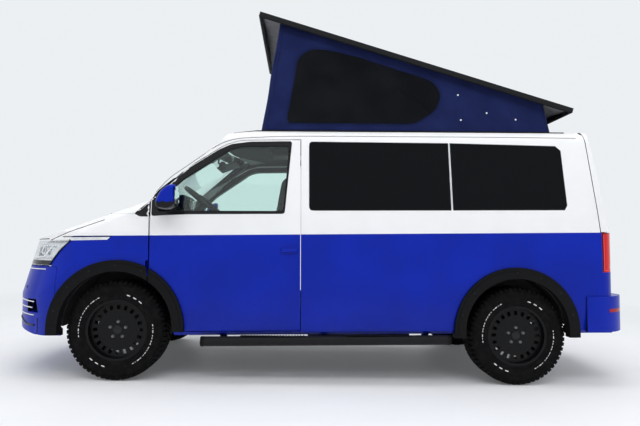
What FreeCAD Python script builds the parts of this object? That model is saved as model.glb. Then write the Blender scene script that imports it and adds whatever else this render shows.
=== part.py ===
"""Camper van with a raised pop-top roof, built as separate pieces.

Frame: +X towards the nose, +Y to the vehicle's left, +Z up, millimetres.
The origin lies on the ground under the middle of the bounding box.
The body is drawn level and then pitched nose down by RAKE about the Y axis.
The wheels, hubs and axles are drawn straight in the ground frame.
"""
import math
import os

import FreeCAD
import Part

V = FreeCAD.Vector

# ---- driving dimensions -------------------------------------------------
LENGTH = 4904.0
WIDTH = 1904.0
WHEELBASE = 3000.0
TRACK = 1628.0
FRONT_AXLE_X = 1544.0
RAKE = 1.1                  # nose-down pitch of the body, degrees
CLEAR = 6.0                 # shut line round moving panels
SEAT_GAP = 0.3              # between pieces that are seated on each other
WALL = 45.0                 # thickness of sides, doors and roof with lining
GLASS = 5.0                 # glass thickness
GLASS_SET = 8.0             # door glass lies this far inside the skin

# wheels
TYRE_R = 368.0
TYRE_W = 242.0
TREAD_W = 208.0
SIDE_HEIGHT = 152.0         # tread to bead
LUGS = 40                   # shoulder lugs on each side
LUG_SHARE = 0.6             # of a lug's pitch, the rest is the notch
LUG_REACH = 30.0            # how far a lug runs down the side wall
LUG_INSET = 34.0            # and in from the tread's edge
BEAD_R = 216.0
RIM_W = 214.0
RIM_WALL = 9.0
HUB_FACE = 34.0             # wheel mounting face, outboard of the wheel's middle
BOLT_CIRCLE = 120.0
BOLT_HOLE = 14.5
BOLTS = 5
HUB_BORE = 65.0
SLOTS = 20
SLOT_R0 = 152.0
SLOT_R1 = 184.0
SLOT_W = 24.0
KINGPIN_Y = 780.0
STEER_MAX = 32.0

# body skin, drawn level
SILL_Z = 358.0
SILL_INNER_Y = 850.0
DOOR_INNER_Y = 898.0
BELT_Z = 1110.0
ROOF_SEAM_Z = 1872.0
ROOF_Z = 1955.0
NOSE_X = LENGTH / 2.0
NOSE_LEAN = 0.296           # the nose leans back above LEAN_Z
LEAN_Z = 650.0
BONNET_SLOPE = 0.349
BONNET_REF = (1560.0, 1345.0)
SCREEN_ANGLE = 41.0
SCREEN_REF = (1197.0, 1627.0)
HEADER_SLOPE = 0.12
HEADER_X = 487.0
TAIL_X = -2228.0            # rear corner of the body
TAIL_LEAN = 0.196
TAIL_Z = 1118.0

# doors and lids
DOOR_FRONT_X = 1297.0
DOOR_REAR_X = 180.0
DOOR_BOTTOM_Z = 392.0
DOOR_TOP_Z = 1838.0
DOOR_HINGE = (1262.0, 925.0)
DOOR_HINGE_Z = (640.0, 1060.0)
DOOR_SWING_R = 44.0         # front edge of the door about its hinge
FLARE_SWING_R = 63.0        # flare end on the door about its hinge
SLIDER_REAR_X = -976.0
SCREEN_HALF = 762.0
RAIL_Z = 420.0
FLOOR_Z = 535.0
FLOOR_HALF = 850.0
FLOOR_REAR_X = -2060.0
RAIL_Y = (400.0, 470.0)
TOW_Y, TOW_Z, TOW_R = -520.0, 517.0, 8.0
TOW_FACE_X = 2312.0
JACK_X, JACK_Y, JACK_Z = 880.0, 798.0, 368.0
BONNET_REAR_X = 1640.0
BONNET_HINGE = (1652.0, 1262.0)
BONNET_THICK = 28.0
LAMP_Z0 = 866.0
LAMP_Z1 = 1056.0
LAMP_Y = 545.0
COWL_Z = 1240.0
TAILGATE_HINGE = (-2056.0, 1921.0)
TAILGATE_HINGE_Y = (-300.0, 300.0)
TAILGATE_SWING_R = 14.0
TAILGATE_BOTTOM_Z = 648.0
TAILGATE_HALF_LOW = 792.0
PIN_R = 6.0
PIN_FIT = 0.3

# wheel arches, drawn level: x, z, opening radius, flare radius
ARCH_FRONT = (1535.0, 420.0, 418.0, 498.0)
ARCH_REAR = (-1450.0, 383.0, 395.0, 475.0)
FLARE_OUT = 972.0
LINER_IN = 4.0              # wheelhouse liner, inner and outer face beyond the arch
LINER_OUT = 14.0
HOUSE_Y_FRONT = 495.0
HOUSE_Y_REAR = 660.0

# pop-top
LID_REAR = (-2002.0, 2118.0)
LID_LENGTH = 2613.0
LID_TILT = 16.75            # lid against the roof when raised
LID_HALF = 780.0
LID_SKIRT = 38.0
LID_CROWN = 45.0
LID_SKIN = 24.0
ARM_ALONG = 262.0           # arm pivot from the rear edge, along the lid
ARM_DROP = 60.0             # arm pivot below the rim's top
ARM_LENGTH = 167.0
ARM_Y = 570.0
ARM_TURN = 100.0
APERTURE = (-1880.0, 470.0)
APERTURE_HALF = 610.0
CANVAS_HALF = 712.0
CANVAS_WALL = 8.0


def front_hub():
    return (FRONT_AXLE_X, TYRE_R)


def rear_hub():
    return (FRONT_AXLE_X - WHEELBASE, TYRE_R)


# ---- small helpers ------------------------------------------------------
def box(x0, x1, y0, y1, z0, z1):
    return Part.makeBox(x1 - x0, y1 - y0, z1 - z0, V(x0, y0, z0))


def rod(start, end, radius):
    axis = end - start
    return Part.makeCylinder(radius, axis.Length, start, axis)


def rod_y(x, z, radius, y0, y1):
    return Part.makeCylinder(radius, y1 - y0, V(x, y0, z), V(0, 1, 0))


def rod_z(x, y, radius, z0, z1):
    return Part.makeCylinder(radius, z1 - z0, V(x, y, z0))


def wire(steps, place):
    """A closed wire from 2-D points; ("arc", middle, end) makes an arc."""
    edges = []
    first = steps[0]
    here = first
    for step in list(steps[1:]) + [first]:
        if step[0] == "arc":
            edges.append(Part.Arc(place(*here), place(*step[1]), place(*step[2])).toShape())
            here = step[2]
        elif step != here:
            edges.append(Part.LineSegment(place(*here), place(*step)).toShape())
            here = step
    return Part.Wire(edges)


def face_xy(steps, z=0.0):
    return Part.Face(wire(steps, lambda x, y: V(x, y, z)))


def face_xz(steps, y=0.0):
    return Part.Face(wire(steps, lambda x, z: V(x, y, z)))


def face_yz(steps, x=0.0):
    return Part.Face(wire(steps, lambda y, z: V(x, y, z)))


def drawn_in(steps, centre, halves, inset):
    """The outline moved towards its centre, so that its half sizes lose inset."""
    def moved(point):
        return tuple(c + (v - c) * (1.0 - inset / h) for v, c, h in zip(point, centre, halves))
    return [("arc", moved(s[1]), moved(s[2])) if s[0] == "arc" else moved(s) for s in steps]


def side_prism(steps, y0, y1):
    return face_xz(steps, y0).extrude(V(0, y1 - y0, 0))


def mirrored(shape):
    return shape.mirror(V(0, 0, 0), V(0, 1, 0))


def pair(shape):
    return Part.makeCompound([shape, mirrored(shape)])


def fuse(*shapes):
    solids = [solid for shape in shapes for solid in shape.Solids]
    whole = solids[0].multiFuse(solids[1:]) if len(solids) > 1 else solids[0]
    return whole.removeSplitter()


def common(*shapes):
    whole = shapes[0]
    for shape in shapes[1:]:
        whole = whole.common(shape)
    return whole


def cut(shape, *tools):
    """The shape without each tool in turn."""
    for tool in tools:
        shape = shape.cut(tool)
    return shape


def pitched(shape):
    """Set a body-level shape down on the axles."""
    done = shape.copy()
    done.rotate(V(0, 0, 0), V(0, 1, 0), RAKE)
    return done


def big_solids(shape, least=20.0):
    """The shape without slivers smaller than `least` cubic centimetres."""
    keep = [s for s in shape.Solids if s.Volume > least * 1000.0]
    return keep[0] if len(keep) == 1 else Part.makeCompound(keep)


# ---- the body's skin ----------------------------------------------------
HALF = WIDTH / 2.0
FAR = 3000.0


def section(inset):
    """Cross-section of the cabin and sides."""
    right = [(895.0, SILL_Z), (930.0, 382.0), (948.0, 530.0), (HALF, 760.0), (944.0, BELT_Z),
             (925.0, 1285.0), (838.0, 1832.0)]
    crown = [("arc", (806.0, 1892.0), (700.0, 1928.0)),
             ("arc", (0.0, ROOF_Z), (-700.0, 1928.0)),
             ("arc", (-806.0, 1892.0), (-838.0, 1832.0))]
    left = [(-y, z) for y, z in reversed(right[:-1])]
    middle = (SILL_Z + ROOF_Z) / 2.0
    steps = drawn_in(right + crown + left, (0.0, middle), (HALF, ROOF_Z - middle), inset)
    return face_yz(steps, -FAR).extrude(V(2 * FAR, 0, 0))


def front_plan(inset):
    """Plan outline of the nose, open-ended to the rear."""
    steps = [(-FAR, 990.0), (1850.0, 990.0), (1850.0, 953.0),
             ("arc", (2045.0, 905.0), (2180.0, 820.0)),
             ("arc", (2345.0, 655.0), (2425.0, 450.0)),
             ("arc", (NOSE_X, 0.0), (2425.0, -450.0)),
             ("arc", (2345.0, -655.0), (2180.0, -820.0)),
             ("arc", (2045.0, -905.0), (1850.0, -953.0)),
             (1850.0, -990.0), (-FAR, -990.0)]
    return face_xy(drawn_in(steps, (NOSE_X - 1500.0, 0.0), (1500.0, HALF), inset), LEAN_Z)


def rear_plan(inset):
    steps = [(FAR, 990.0), (-2060.0, 990.0), (-2060.0, 950.0),
             ("arc", (-2178.0, 923.0), (TAIL_X, 850.0)),
             ("arc", (TAIL_X - 95.0, 0.0), (TAIL_X, -850.0)),
             ("arc", (-2178.0, -923.0), (-2060.0, -950.0)),
             (-2060.0, -990.0), (FAR, -990.0)]
    return face_xy(drawn_in(steps, (TAIL_X + 1400.0, 0.0), (1500.0, HALF), inset), TAIL_Z)


def slanted(face, slope_x, up):
    """A face extruded up and down along a line that leans slope_x per unit of height."""
    low = face.copy()
    low.translate(V(-slope_x * up, 0, -up))
    return low.extrude(V(2 * slope_x * up, 0, 2 * up))


def side_profile(inset):
    """Outline of underside and ends, seen from the side."""
    steps = [(2620.0, 500.0), (2395.0, 398.0), (2150.0, 352.0), (1900.0, 340.0), (-1900.0, 335.0),
             (-2300.0, 365.0), (-2620.0, 430.0), (-2620.0, 1922.0), (-2100.0, 1936.0),
             (-900.0, 1960.0), (-900.0, 2100.0), (2620.0, 2100.0)]
    steps = drawn_in(steps, (0.0, 1150.0), (2620.0, 800.0), inset)
    return face_xz(steps, -FAR).extrude(V(0, 2 * FAR, 0))


def under_bonnet(inset):
    ref_x, ref_z = BONNET_REF
    steps = [(990.0, 0.0), (990.0, 1120.0), (950.0, 1165.0),
             ("arc", (912.0, 1242.0), (815.0, 1286.0)),
             ("arc", (0.0, ref_z), (-815.0, 1286.0)),
             ("arc", (-912.0, 1242.0), (-950.0, 1165.0)),
             (-990.0, 1120.0), (-990.0, 0.0)]
    face = face_yz(drawn_in(steps, (0.0, ref_z - 600.0), (HALF, 565.0), inset), ref_x)
    run = 2000.0
    face.translate(V(-run, 0, run * BONNET_SLOPE))
    solid = face.extrude(V(2 * run, 0, -2 * run * BONNET_SLOPE))
    return solid.common(box(1000.0, FAR, -FAR, FAR, -FAR, FAR))


def behind_screen(inset):
    x, z = SCREEN_REF
    x -= inset / math.sin(math.radians(SCREEN_ANGLE))
    steps = [(x - 249.0, 1000.0), ("arc", (x, 0.0), (x - 249.0, -1000.0)), (-6000.0, -1000.0),
             (-6000.0, 1000.0)]
    return slanted(face_xy(steps, z), -1.0 / math.tan(math.radians(SCREEN_ANGLE)), 1700.0)


def under_header(inset):
    z = ROOF_Z + 2.0 - inset
    steps = [(990.0, z - 58.0), ("arc", (0.0, z), (-990.0, z - 58.0)), (-990.0, -4000.0), (990.0, -4000.0)]
    face = face_yz(steps, HEADER_X)
    face.translate(V(-4000.0, 0, 4000.0 * HEADER_SLOPE))
    return face.extrude(V(7000.0, 0, -7000.0 * HEADER_SLOPE))


BODIES = {}


def body(inset):
    """The van's closed body, its skin moved inwards by inset."""
    if inset not in BODIES:
        envelope = common(section(inset), slanted(front_plan(inset), 0.0, 2500.0),
                          slanted(rear_plan(inset), 0.0, 2500.0), side_profile(inset))
        nose = common(envelope, slanted(front_plan(inset), -NOSE_LEAN, 1500.0), under_bonnet(inset))
        cabin = common(envelope, behind_screen(inset), under_header(inset),
                       slanted(rear_plan(inset), TAIL_LEAN, 2500.0))
        BODIES[inset] = nose.fuse(cabin).removeSplitter()
    return BODIES[inset]


def shell(outer, inner):
    return body(outer).cut(body(inner))


# ---- outlines in side view ----------------------------------------------
def door_outline(grow=0.0):
    g = grow
    return [(DOOR_FRONT_X + g, DOOR_BOTTOM_Z - g), (DOOR_FRONT_X + g, 1387.0 + g),
            (1239.0 + g, 1452.0 + g), (1095.0 + g * 0.6, 1573.0 + g * 1.1),
            (797.0 + g * 0.5, 1767.0 + g), ("arc", (700.0, 1812.0 + g), (569.0, DOOR_TOP_Z - 6.0 + g)),
            (DOOR_REAR_X - g, DOOR_TOP_Z + g), (DOOR_REAR_X - g, DOOR_BOTTOM_Z - g)]


def door_window(shrink=0.0):
    s = shrink
    return [(1200.0 - s, 1278.0 + s), (1200.0 - s, 1400.0 - s), (1065.0 - s * 0.6, 1524.0 - s * 1.2),
            (770.0 - s * 0.5, 1718.0 - s), ("arc", (715.0, 1756.0 - s), (640.0, 1779.0 - s)),
            (262.0 + s, 1786.0 - s), (303.0 + s, 1278.0 + s)]


def slider_outline(grow=0.0):
    front = DOOR_REAR_X - CLEAR
    return [(front + grow, DOOR_BOTTOM_Z - grow), (front + grow, DOOR_TOP_Z + grow),
            (SLIDER_REAR_X - grow, DOOR_TOP_Z + grow), (SLIDER_REAR_X - grow, DOOR_BOTTOM_Z - grow)]


SIDE_PANES = (((114.0, 1286.0), (114.0, 1826.0), (-970.0, 1820.0), (-970.0, 1290.0)),
              ((-982.0, 1290.0), (-982.0, 1820.0), (-1815.0, 1802.0), (-1856.0, 1765.0),
               (-1868.0, 1330.0), (-1846.0, 1294.0)))
SIDE_HOLES = (((60.0, 1330.0), (60.0, 1786.0), (-905.0, 1782.0), (-905.0, 1334.0)),
              ((-1040.0, 1334.0), (-1040.0, 1780.0), (-1790.0, 1764.0), (-1806.0, 1340.0)))


def arch_hole(arch, radius_more=0.0, y0=-FAR, y1=FAR):
    x, z, radius, flare = arch
    r = radius + radius_more
    return rod_y(x, z, r, y0, y1).fuse(box(x - r, x + r, y0, y1, z - 400.0, z))


def door_swing(radius, z0, z1):
    return rod_z(DOOR_HINGE[0], DOOR_HINGE[1], radius + CLEAR - 1.0, z0, z1)


def lamp_steps(grow=0.0):
    g = grow
    return [(2600.0, LAMP_Z0 - g), (2062.0 - g, LAMP_Z0 + 8.0 - g), (1968.0 - g, 990.0),
            (1880.0 - g, LAMP_Z1 + 6.0 + g), (2600.0, LAMP_Z1 + g)]


def bonnet_line(x):
    """Height of the bonnet's side shut line."""
    return 1258.0 - (x - 1531.0) * 0.352


# ---- body panels --------------------------------------------------------
def left_half():
    return box(-FAR, FAR, 0.0, FAR, -FAR, FAR)


def roof_zone():
    return box(TAILGATE_HINGE[0] + CLEAR, FAR, -FAR, FAR, ROOF_SEAM_Z, FAR)


def tail_zone(grow):
    """Tailgate outline: full width above the lamps, between them below."""
    g = grow
    x, z = TAILGATE_HINGE
    upper = side_prism([(x + g, FAR), (x + g, z - 20.0), (-2114.0 + g, 1128.0 - g), (-FAR, 1128.0 - g),
                        (-FAR, FAR)], -FAR, FAR)
    half = TAILGATE_HALF_LOW + g
    lower = box(-FAR, -2140.0 + g * 10.0, -half, half, TAILGATE_BOTTOM_Z - g, 1135.0)
    return upper.fuse(lower)


def bonnet_zone(grow):
    g = grow
    wedge = side_prism([(BONNET_REAR_X, bonnet_line(BONNET_REAR_X) - g), (FAR, bonnet_line(FAR) - g),
                        (FAR, FAR), (BONNET_REAR_X, FAR)], -FAR, FAR)
    return wedge.common(box(0.0, FAR, -FAR, FAR, LAMP_Z1 + CLEAR - g, FAR))


def screen_zone():
    block = side_prism([(1560.0, 1338.0), (560.0, 1338.0), (560.0, 1905.0), (1560.0, 1905.0)],
                       -SCREEN_HALF - 0.5, SCREEN_HALF + 0.5)
    layer = behind_screen(-50.0).cut(behind_screen(WALL + 20.0))
    return block.common(layer)


def nose_zone():
    return box(1987.0, FAR, -FAR, FAR, 0.0, LAMP_Z0)


def make_shell_parts():
    underside = box(-FAR, 2150.0, -SILL_INNER_Y, SILL_INNER_Y, 0.0, 480.0)
    skin = cut(shell(0.0, WALL), arch_hole(ARCH_FRONT), arch_hole(ARCH_REAR), underside)
    parts = {
        "tailgate": tailgate(skin),
        "front_bumper": front_bumper(skin),
        "grille": grille(),
        "bonnet": bonnet(),
        "windscreen": windscreen()}
    x, z = TAILGATE_HINGE
    hinge_line = rod_y(x, z, TAILGATE_SWING_R + 2.0 * CLEAR, -FAR, FAR)
    cowl_well = box(1530.0, BONNET_REAR_X + 1.0, -800.0, 800.0, COWL_Z + 12.0, FAR)
    skin = cut(skin, tail_zone(CLEAR), hinge_line, nose_zone(), side_prism(lamp_steps(2.0), -FAR, FAR),
               bonnet_zone(CLEAR), cowl_well)
    parts["roof_panel"] = roof_panel(skin)
    side = cut(skin, roof_zone()).common(box(-FAR, FAR, 400.0, FAR, -FAR, FAR))
    side = cut(side, box(1480.0, BONNET_REAR_X + 1.0, 0.0, 800.0, 1180.0, 1338.0))
    parts["front_wings"] = front_wings(side)
    side = cut(side, box(DOOR_FRONT_X + 2.0, FAR, -FAR, FAR, -100.0, 1263.0), screen_zone())
    parts.update(body_sides(side))
    return parts


def front_wings(side):
    wing_zone = box(DOOR_FRONT_X + CLEAR, FAR, LAMP_Y, FAR, 0.0, 1262.0)
    wing = cut(side.common(wing_zone), door_swing(DOOR_SWING_R, 300.0, 1262.0),
               door_swing(FLARE_SWING_R, 760.0, 915.0), box(1600.0, 1760.0, 640.0, 760.0, 1150.0, 1300.0))
    return pair(big_solids(wing.cut(side_prism(lamp_steps(3.0), 0.0, FAR)), 100.0))


def body_sides(side):
    """Left and right body sides with their openings."""
    door_gap = side_prism(door_outline(CLEAR), 600.0, FAR)
    swing = door_swing(DOOR_SWING_R, 300.0, 1600.0)
    left = cut(side, door_gap, swing, tail_lamp_zone(1.0))
    pocket = shell(-20.0, GLASS + SEAT_GAP)
    panes = [side_prism(p, 500.0, FAR) for p in SIDE_PANES]
    holes = [side_prism(h, 500.0, FAR) for h in SIDE_HOLES]
    left_side = cut(left, pocket.common(panes[0]), pocket.common(panes[1]), *holes)
    right = cut(left, pocket.common(panes[1]), holes[1], side_prism(slider_outline(4.0), 500.0, FAR))
    return {"left_side": fuse(big_solids(left_side, 50.0), hinge_post()),
            "right_side": mirrored(fuse(big_solids(right, 50.0), hinge_post()))}


def hinge_post_head():
    """Upper end of the post, run into the windscreen pillar."""
    head = box(DOOR_FRONT_X + 10.0, DOOR_FRONT_X + 60.0, 831.0, 900.0, 1236.0, 1310.0)
    return cut(head.common(body(12.0)), screen_zone(), door_swing(DOOR_SWING_R, 1200.0, 1400.0),
               box(DOOR_FRONT_X, FAR, 846.0, FAR, 0.0, 1262.0 + CLEAR))


def hinge_post():
    """Post behind the front wing that carries the door hinges."""
    post = box(DOOR_HINGE[0] - 30.0, DOOR_FRONT_X + 60.0, 830.0, 892.0, 360.0, 1250.0)
    post = fuse(post.common(body(WALL + CLEAR)), hinge_post_head()).cut(door_swing(DOOR_SWING_R, 300.0, 1264.0))
    x, y = DOOR_HINGE
    lugs = []
    for z in DOOR_HINGE_Z:
        lugs.append(box(x - 9.0, x + 9.0, 862.0, y + 9.0, z + 12.0, z + 28.0))
        lugs.append(box(x - 9.0, x + 9.0, 862.0, y + 9.0, z - 28.0, z - 12.0))
        lugs.append(rod_z(x, y, PIN_R, z - 28.0, z + 28.0))
    return fuse(post, *lugs).cut(arch_hole(ARCH_FRONT, LINER_OUT + SEAT_GAP))


def tail_lamp_zone(grow):
    g = grow
    steps = [(-2118.0 + g, 822.0 - g), (-2118.0 + g, 1122.0 + g), (-3000.0, 1122.0 + g), (-3000.0, 822.0 - g)]
    zone = side_prism(steps, TAILGATE_HALF_LOW + CLEAR, FAR)
    return zone.common(shell(-30.0, 30.0 + g))


def tail_lamps():
    return pair(tail_lamp_zone(0.0).common(body(0.0)))


def front_bumper(skin):
    """Bumper skin with its intake cut through."""
    zone = skin.common(box(1990.0, FAR, -FAR, FAR, 0.0, LAMP_Z0 - 3.0))
    intake = box(2200.0, FAR, -620.0, 620.0, 455.0, 600.0)
    inlets = pair(side_prism([(2140.0, 520.0), (2260.0, 520.0), (2260.0, 620.0), (2165.0, 620.0)],
                             690.0, FAR))
    bars = [box(2300.0, NOSE_X - 12.0, -640.0, 640.0, z, z + 12.0) for z in (492.0, 530.0, 568.0)]
    bars = [bar.common(body(8.0)) for bar in bars]
    bumper = cut(zone, intake, inlets)
    backing = box(2262.0, TOW_FACE_X, -700.0, 700.0, 436.0, 618.0).common(body(20.0))
    thread = rod(V(2250.0, TOW_Y, TOW_Z), V(TOW_FACE_X + 10.0, TOW_Y, TOW_Z), TOW_R)
    return big_solids(cut(fuse(bumper, backing, *bars), thread), 100.0)


def grille():
    """Slatted panel between the headlamps."""
    zone = box(2000.0, FAR, -LAMP_Y + 3.0, LAMP_Y - 3.0, LAMP_Z0 - 3.0 + SEAT_GAP, LAMP_Z1)
    panel = shell(10.0, WALL).common(zone)
    slats = [shell(0.0, 12.0).common(box(2000.0, FAR, -LAMP_Y + 3.0, LAMP_Y - 3.0, z, z + 16.0))
             for z in (LAMP_Z0, 912.0, 958.0, 1004.0, LAMP_Z1 - 16.0)]
    return big_solids(fuse(panel, *slats), 50.0)


def headlamps():
    zone = side_prism(lamp_steps(-2.0), LAMP_Y, FAR)
    lamp = cut(shell(0.0, WALL).common(zone), arch_hole(ARCH_FRONT, 4.0),
               box(1800.0, 1904.0, LAMP_Y, FAR, LAMP_Z1 - 18.0, LAMP_Z1 + 30.0))
    return pair(big_solids(lamp, 50.0))


def bonnet():
    """Bonnet with its inner reinforcement and hinge knuckles."""
    cover = shell(0.0, BONNET_THICK).common(bonnet_zone(0.0))
    x, z = BONNET_HINGE
    eyes = []
    for y in (-700.0, 700.0):
        eye = fuse(rod_y(x, z, 14.0, y - 10.0, y + 10.0), box(x - 14.0, x + 60.0, y - 10.0, y + 10.0,
                                                             z - 14.0, z + 16.0))
        eyes.append(eye.common(body(1.0)))
    cover = fuse(big_solids(cover, 100.0), *eyes)
    for y in (-700.0, 700.0):
        cover = cut(cover, rod_y(x, z, PIN_R + PIN_FIT, y - 40.0, y + 40.0),
                    box(x - 40.0, x + 24.0, y - 36.0, y - 10.0, z - 60.0, z + 16.0),
                    box(x - 40.0, x + 24.0, y + 10.0, y + 36.0, z - 60.0, z + 16.0),
                    box(x - 40.0, x + 24.0, y - 36.0, y + 36.0, z - 60.0, z - 14.0))
    return cover


def windscreen():
    layer = shell(2.0, 2.0 + GLASS + 1.0)
    zone = side_prism([(1700.0, 1339.0), (560.0, 1339.0), (560.0, 1904.0), (1700.0, 1904.0)],
                      -SCREEN_HALF, SCREEN_HALF)
    surface = behind_screen(-5.0).cut(behind_screen(20.0))
    return big_solids(layer.common(zone).common(surface), 5.0)


def roof_panel(skin):
    """Roof skin with its aperture and the arms' brackets."""
    aperture = box(APERTURE[0], APERTURE[1], -APERTURE_HALF, APERTURE_HALF, 1700.0, 2200.0)
    panel = big_solids(cut(skin.common(roof_zone()), aperture, screen_zone()), 100.0)
    ax, az = arm_base()
    brackets = []
    hx, hz = TAILGATE_HINGE
    for y in TAILGATE_HINGE_Y:
        brackets.append(box(hx - 9.0, hx + 42.0, y - 5.0, y + 5.0, hz - 9.0, hz + 5.0))
        brackets.append(rod_y(hx, hz, PIN_R, y - 40.0, y + 40.0))
    for side in (-1, 1):
        y = side * ARM_Y
        ys = sorted((y + side * 7.0, side * (APERTURE_HALF + 12.0)))
        foot = box(ax - 40.0, ax + 40.0, ys[0], ys[1], az - 42.0, az - 20.0)
        plate = box(ax - 16.0, ax + 16.0, min(y + side * 7.0, y + side * 19.0),
                    max(y + side * 7.0, y + side * 19.0), az - 42.0, az + 12.0)
        pin = rod_y(ax, az, PIN_R, min(y - side * 8.0, y + side * 10.0), max(y - side * 8.0, y + side * 10.0))
        brackets += [foot, plate, pin]
    return fuse(panel, *brackets)


def tailgate(skin):
    """Tailgate with its window cut and hinge knuckles."""
    x, z = TAILGATE_HINGE
    nose = rod_y(x, z, TAILGATE_SWING_R, -700.0, 700.0).common(body(0.0))
    gate = big_solids(skin.common(tail_zone(0.0)), 100.0)
    window = box(-3000.0, -2060.0, -690.0, 690.0, 1290.0, 1800.0)
    gate = gate.cut(window).fuse(nose).removeSplitter()
    for y in TAILGATE_HINGE_Y:
        gate = cut(gate, rod_y(x, z, TAILGATE_SWING_R + 10.0, y - 13.0, y + 13.0),
                   rod_y(x, z, PIN_R + PIN_FIT, y - 42.0, y + 42.0))
    return gate


def tailgate_glass():
    layer = shell(3.0, 3.0 + GLASS)
    return layer.common(box(-3000.0, -2060.0, -689.7, 689.7, 1290.3, 1799.7))


def side_glass():
    layer = shell(0.0, GLASS)
    left = [layer.common(side_prism(p, 500.0, FAR)) for p in SIDE_PANES]
    return Part.makeCompound(left + [mirrored(pane) for pane in left])


def front_door():
    """Left front door with its window cut and hinge knuckles."""
    outline = side_prism(door_outline(), 600.0, FAR)
    door = shell(0.0, WALL).common(outline)
    door = cut(door, side_prism(door_window(), 500.0, FAR), arch_hole(ARCH_FRONT), door_edge_trim(),
               box(-FAR, FAR, 0.0, DOOR_INNER_Y, 0.0, 480.0))
    x, y = DOOR_HINGE
    for z in DOOR_HINGE_Z:
        door = door.cut(box(x - 15.0, DOOR_FRONT_X + 3.0, 800.0, y + 15.0, z - 34.0, z + 34.0))
        knuckle = fuse(rod_z(x, y, 9.0, z - 11.0, z + 11.0), box(x - 22.0, x, y - 9.0, y + 9.0,
                                                               z - 11.0, z + 11.0))
        door = door.fuse(knuckle).cut(rod_z(x, y, PIN_R + PIN_FIT, z - 12.0, z + 12.0))
    flare = flare_solid(ARCH_FRONT).common(box(0.0, DOOR_FRONT_X, 0.0, FAR, DOOR_BOTTOM_Z, FAR))
    door = door.fuse(flare)
    return big_solids(door.removeSplitter(), 50.0)


def door_edge_trim():
    """What lies ahead of the hinge and outside the door's swing radius."""
    x, y = DOOR_HINGE
    block = box(x, x + 200.0, 600.0, FAR, 0.0, 1392.0)
    keep = rod_z(x, y, DOOR_SWING_R, -10.0, 1400.0).fuse(rod_z(x, y, FLARE_SWING_R, 770.0, 905.0))
    return block.cut(keep)


def door_glass():
    layer = shell(GLASS_SET, GLASS_SET + GLASS)
    return big_solids(layer.common(side_prism(door_window(SEAT_GAP), 500.0, FAR)), 1.0)


def sliding_door():
    """Right side door, drawn on the left and mirrored."""
    door = shell(0.0, WALL).common(side_prism(slider_outline(), 600.0, FAR))
    pocket = shell(-20.0, GLASS + SEAT_GAP).common(side_prism(SIDE_PANES[0], 500.0, FAR))
    door = cut(door, pocket, side_prism(SIDE_HOLES[0], 500.0, FAR),
               box(-FAR, FAR, 0.0, DOOR_INNER_Y, 0.0, 480.0))
    door = big_solids(door, 100.0)
    latches = [box(SLIDER_REAR_X - 4.0 + SEAT_GAP, SLIDER_REAR_X + 30.0, 905.0, 925.0, z, z + 40.0)
               for z in (700.0, 1150.0)]
    latches.append(box(-500.0, -460.0, 900.0, 925.0, DOOR_BOTTOM_Z - 4.0 + SEAT_GAP, DOOR_BOTTOM_Z + 20.0))
    return mirrored(fuse(door, *latches))


def flare_solid(arch):
    """Wheel arch trim on the left, lying on the skin."""
    x, z, inner, outer = arch
    low = z - 48.0
    ring = rod_y(x, z, outer, 900.0, FLARE_OUT).fuse(box(x - outer, x + outer, 900.0, FLARE_OUT, low, z))
    ring = ring.cut([arch_hole(arch, -3.0), box(-FAR, FAR, 0.0, FAR, -FAR, low)])
    skirt = rod_y(x, z, outer - 26.0, FLARE_OUT - 30.0, FLARE_OUT + 4.0)
    return ring.cut(body(0.0)).fuse(skirt.fuse(box(x - outer + 26.0, x + outer - 26.0, FLARE_OUT - 30.0,
                                                   FLARE_OUT + 4.0, low, z)).cut(
        [arch_hole(arch, -3.0), box(-FAR, FAR, 0.0, FAR, -FAR, low), body(0.0)])).removeSplitter()


def wheel_arch_trims():
    front = cut(flare_solid(ARCH_FRONT), box(0.0, DOOR_FRONT_X + CLEAR, 0.0, FAR, 0.0, FAR),
                door_swing(FLARE_SWING_R, 300.0, 1000.0))
    rear = flare_solid(ARCH_REAR)
    return Part.makeCompound([pair(big_solids(front, 5.0)), pair(rear)])


def arm_base():
    """Lower pivot of the roof arms, body level."""
    bx, bz = arm_tip()
    return (bx, bz - ARM_LENGTH)


def arm_tip():
    tilt = math.radians(LID_TILT)
    x = LID_REAR[0] + ARM_ALONG * math.cos(tilt) + ARM_DROP * math.sin(tilt)
    z = LID_REAR[1] + ARM_ALONG * math.sin(tilt) - ARM_DROP * math.cos(tilt)
    return (x, z)


def lid_arms():
    ax, az = arm_base()
    bx, bz = arm_tip()
    arms = []
    for side in (-1, 1):
        y0, y1 = sorted((side * (ARM_Y - 6.0), side * (ARM_Y + 6.0)))
        arm = fuse(rod_y(ax, az, 14.0, y0, y1), rod_y(bx, bz, 14.0, y0, y1),
                   box(ax - 11.0, ax + 11.0, y0, y1, az, bz))
        hole = rod_y(ax, az, PIN_R + PIN_FIT, y0 - 1.0, y1 + 1.0)
        pin = rod_y(bx, bz, PIN_R, min(y0, side * (ARM_Y - 16.0)), max(y1, side * (ARM_Y - 16.0)))
        arms.append(fuse(arm.cut(hole), pin))
    return Part.makeCompound(arms)


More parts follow.
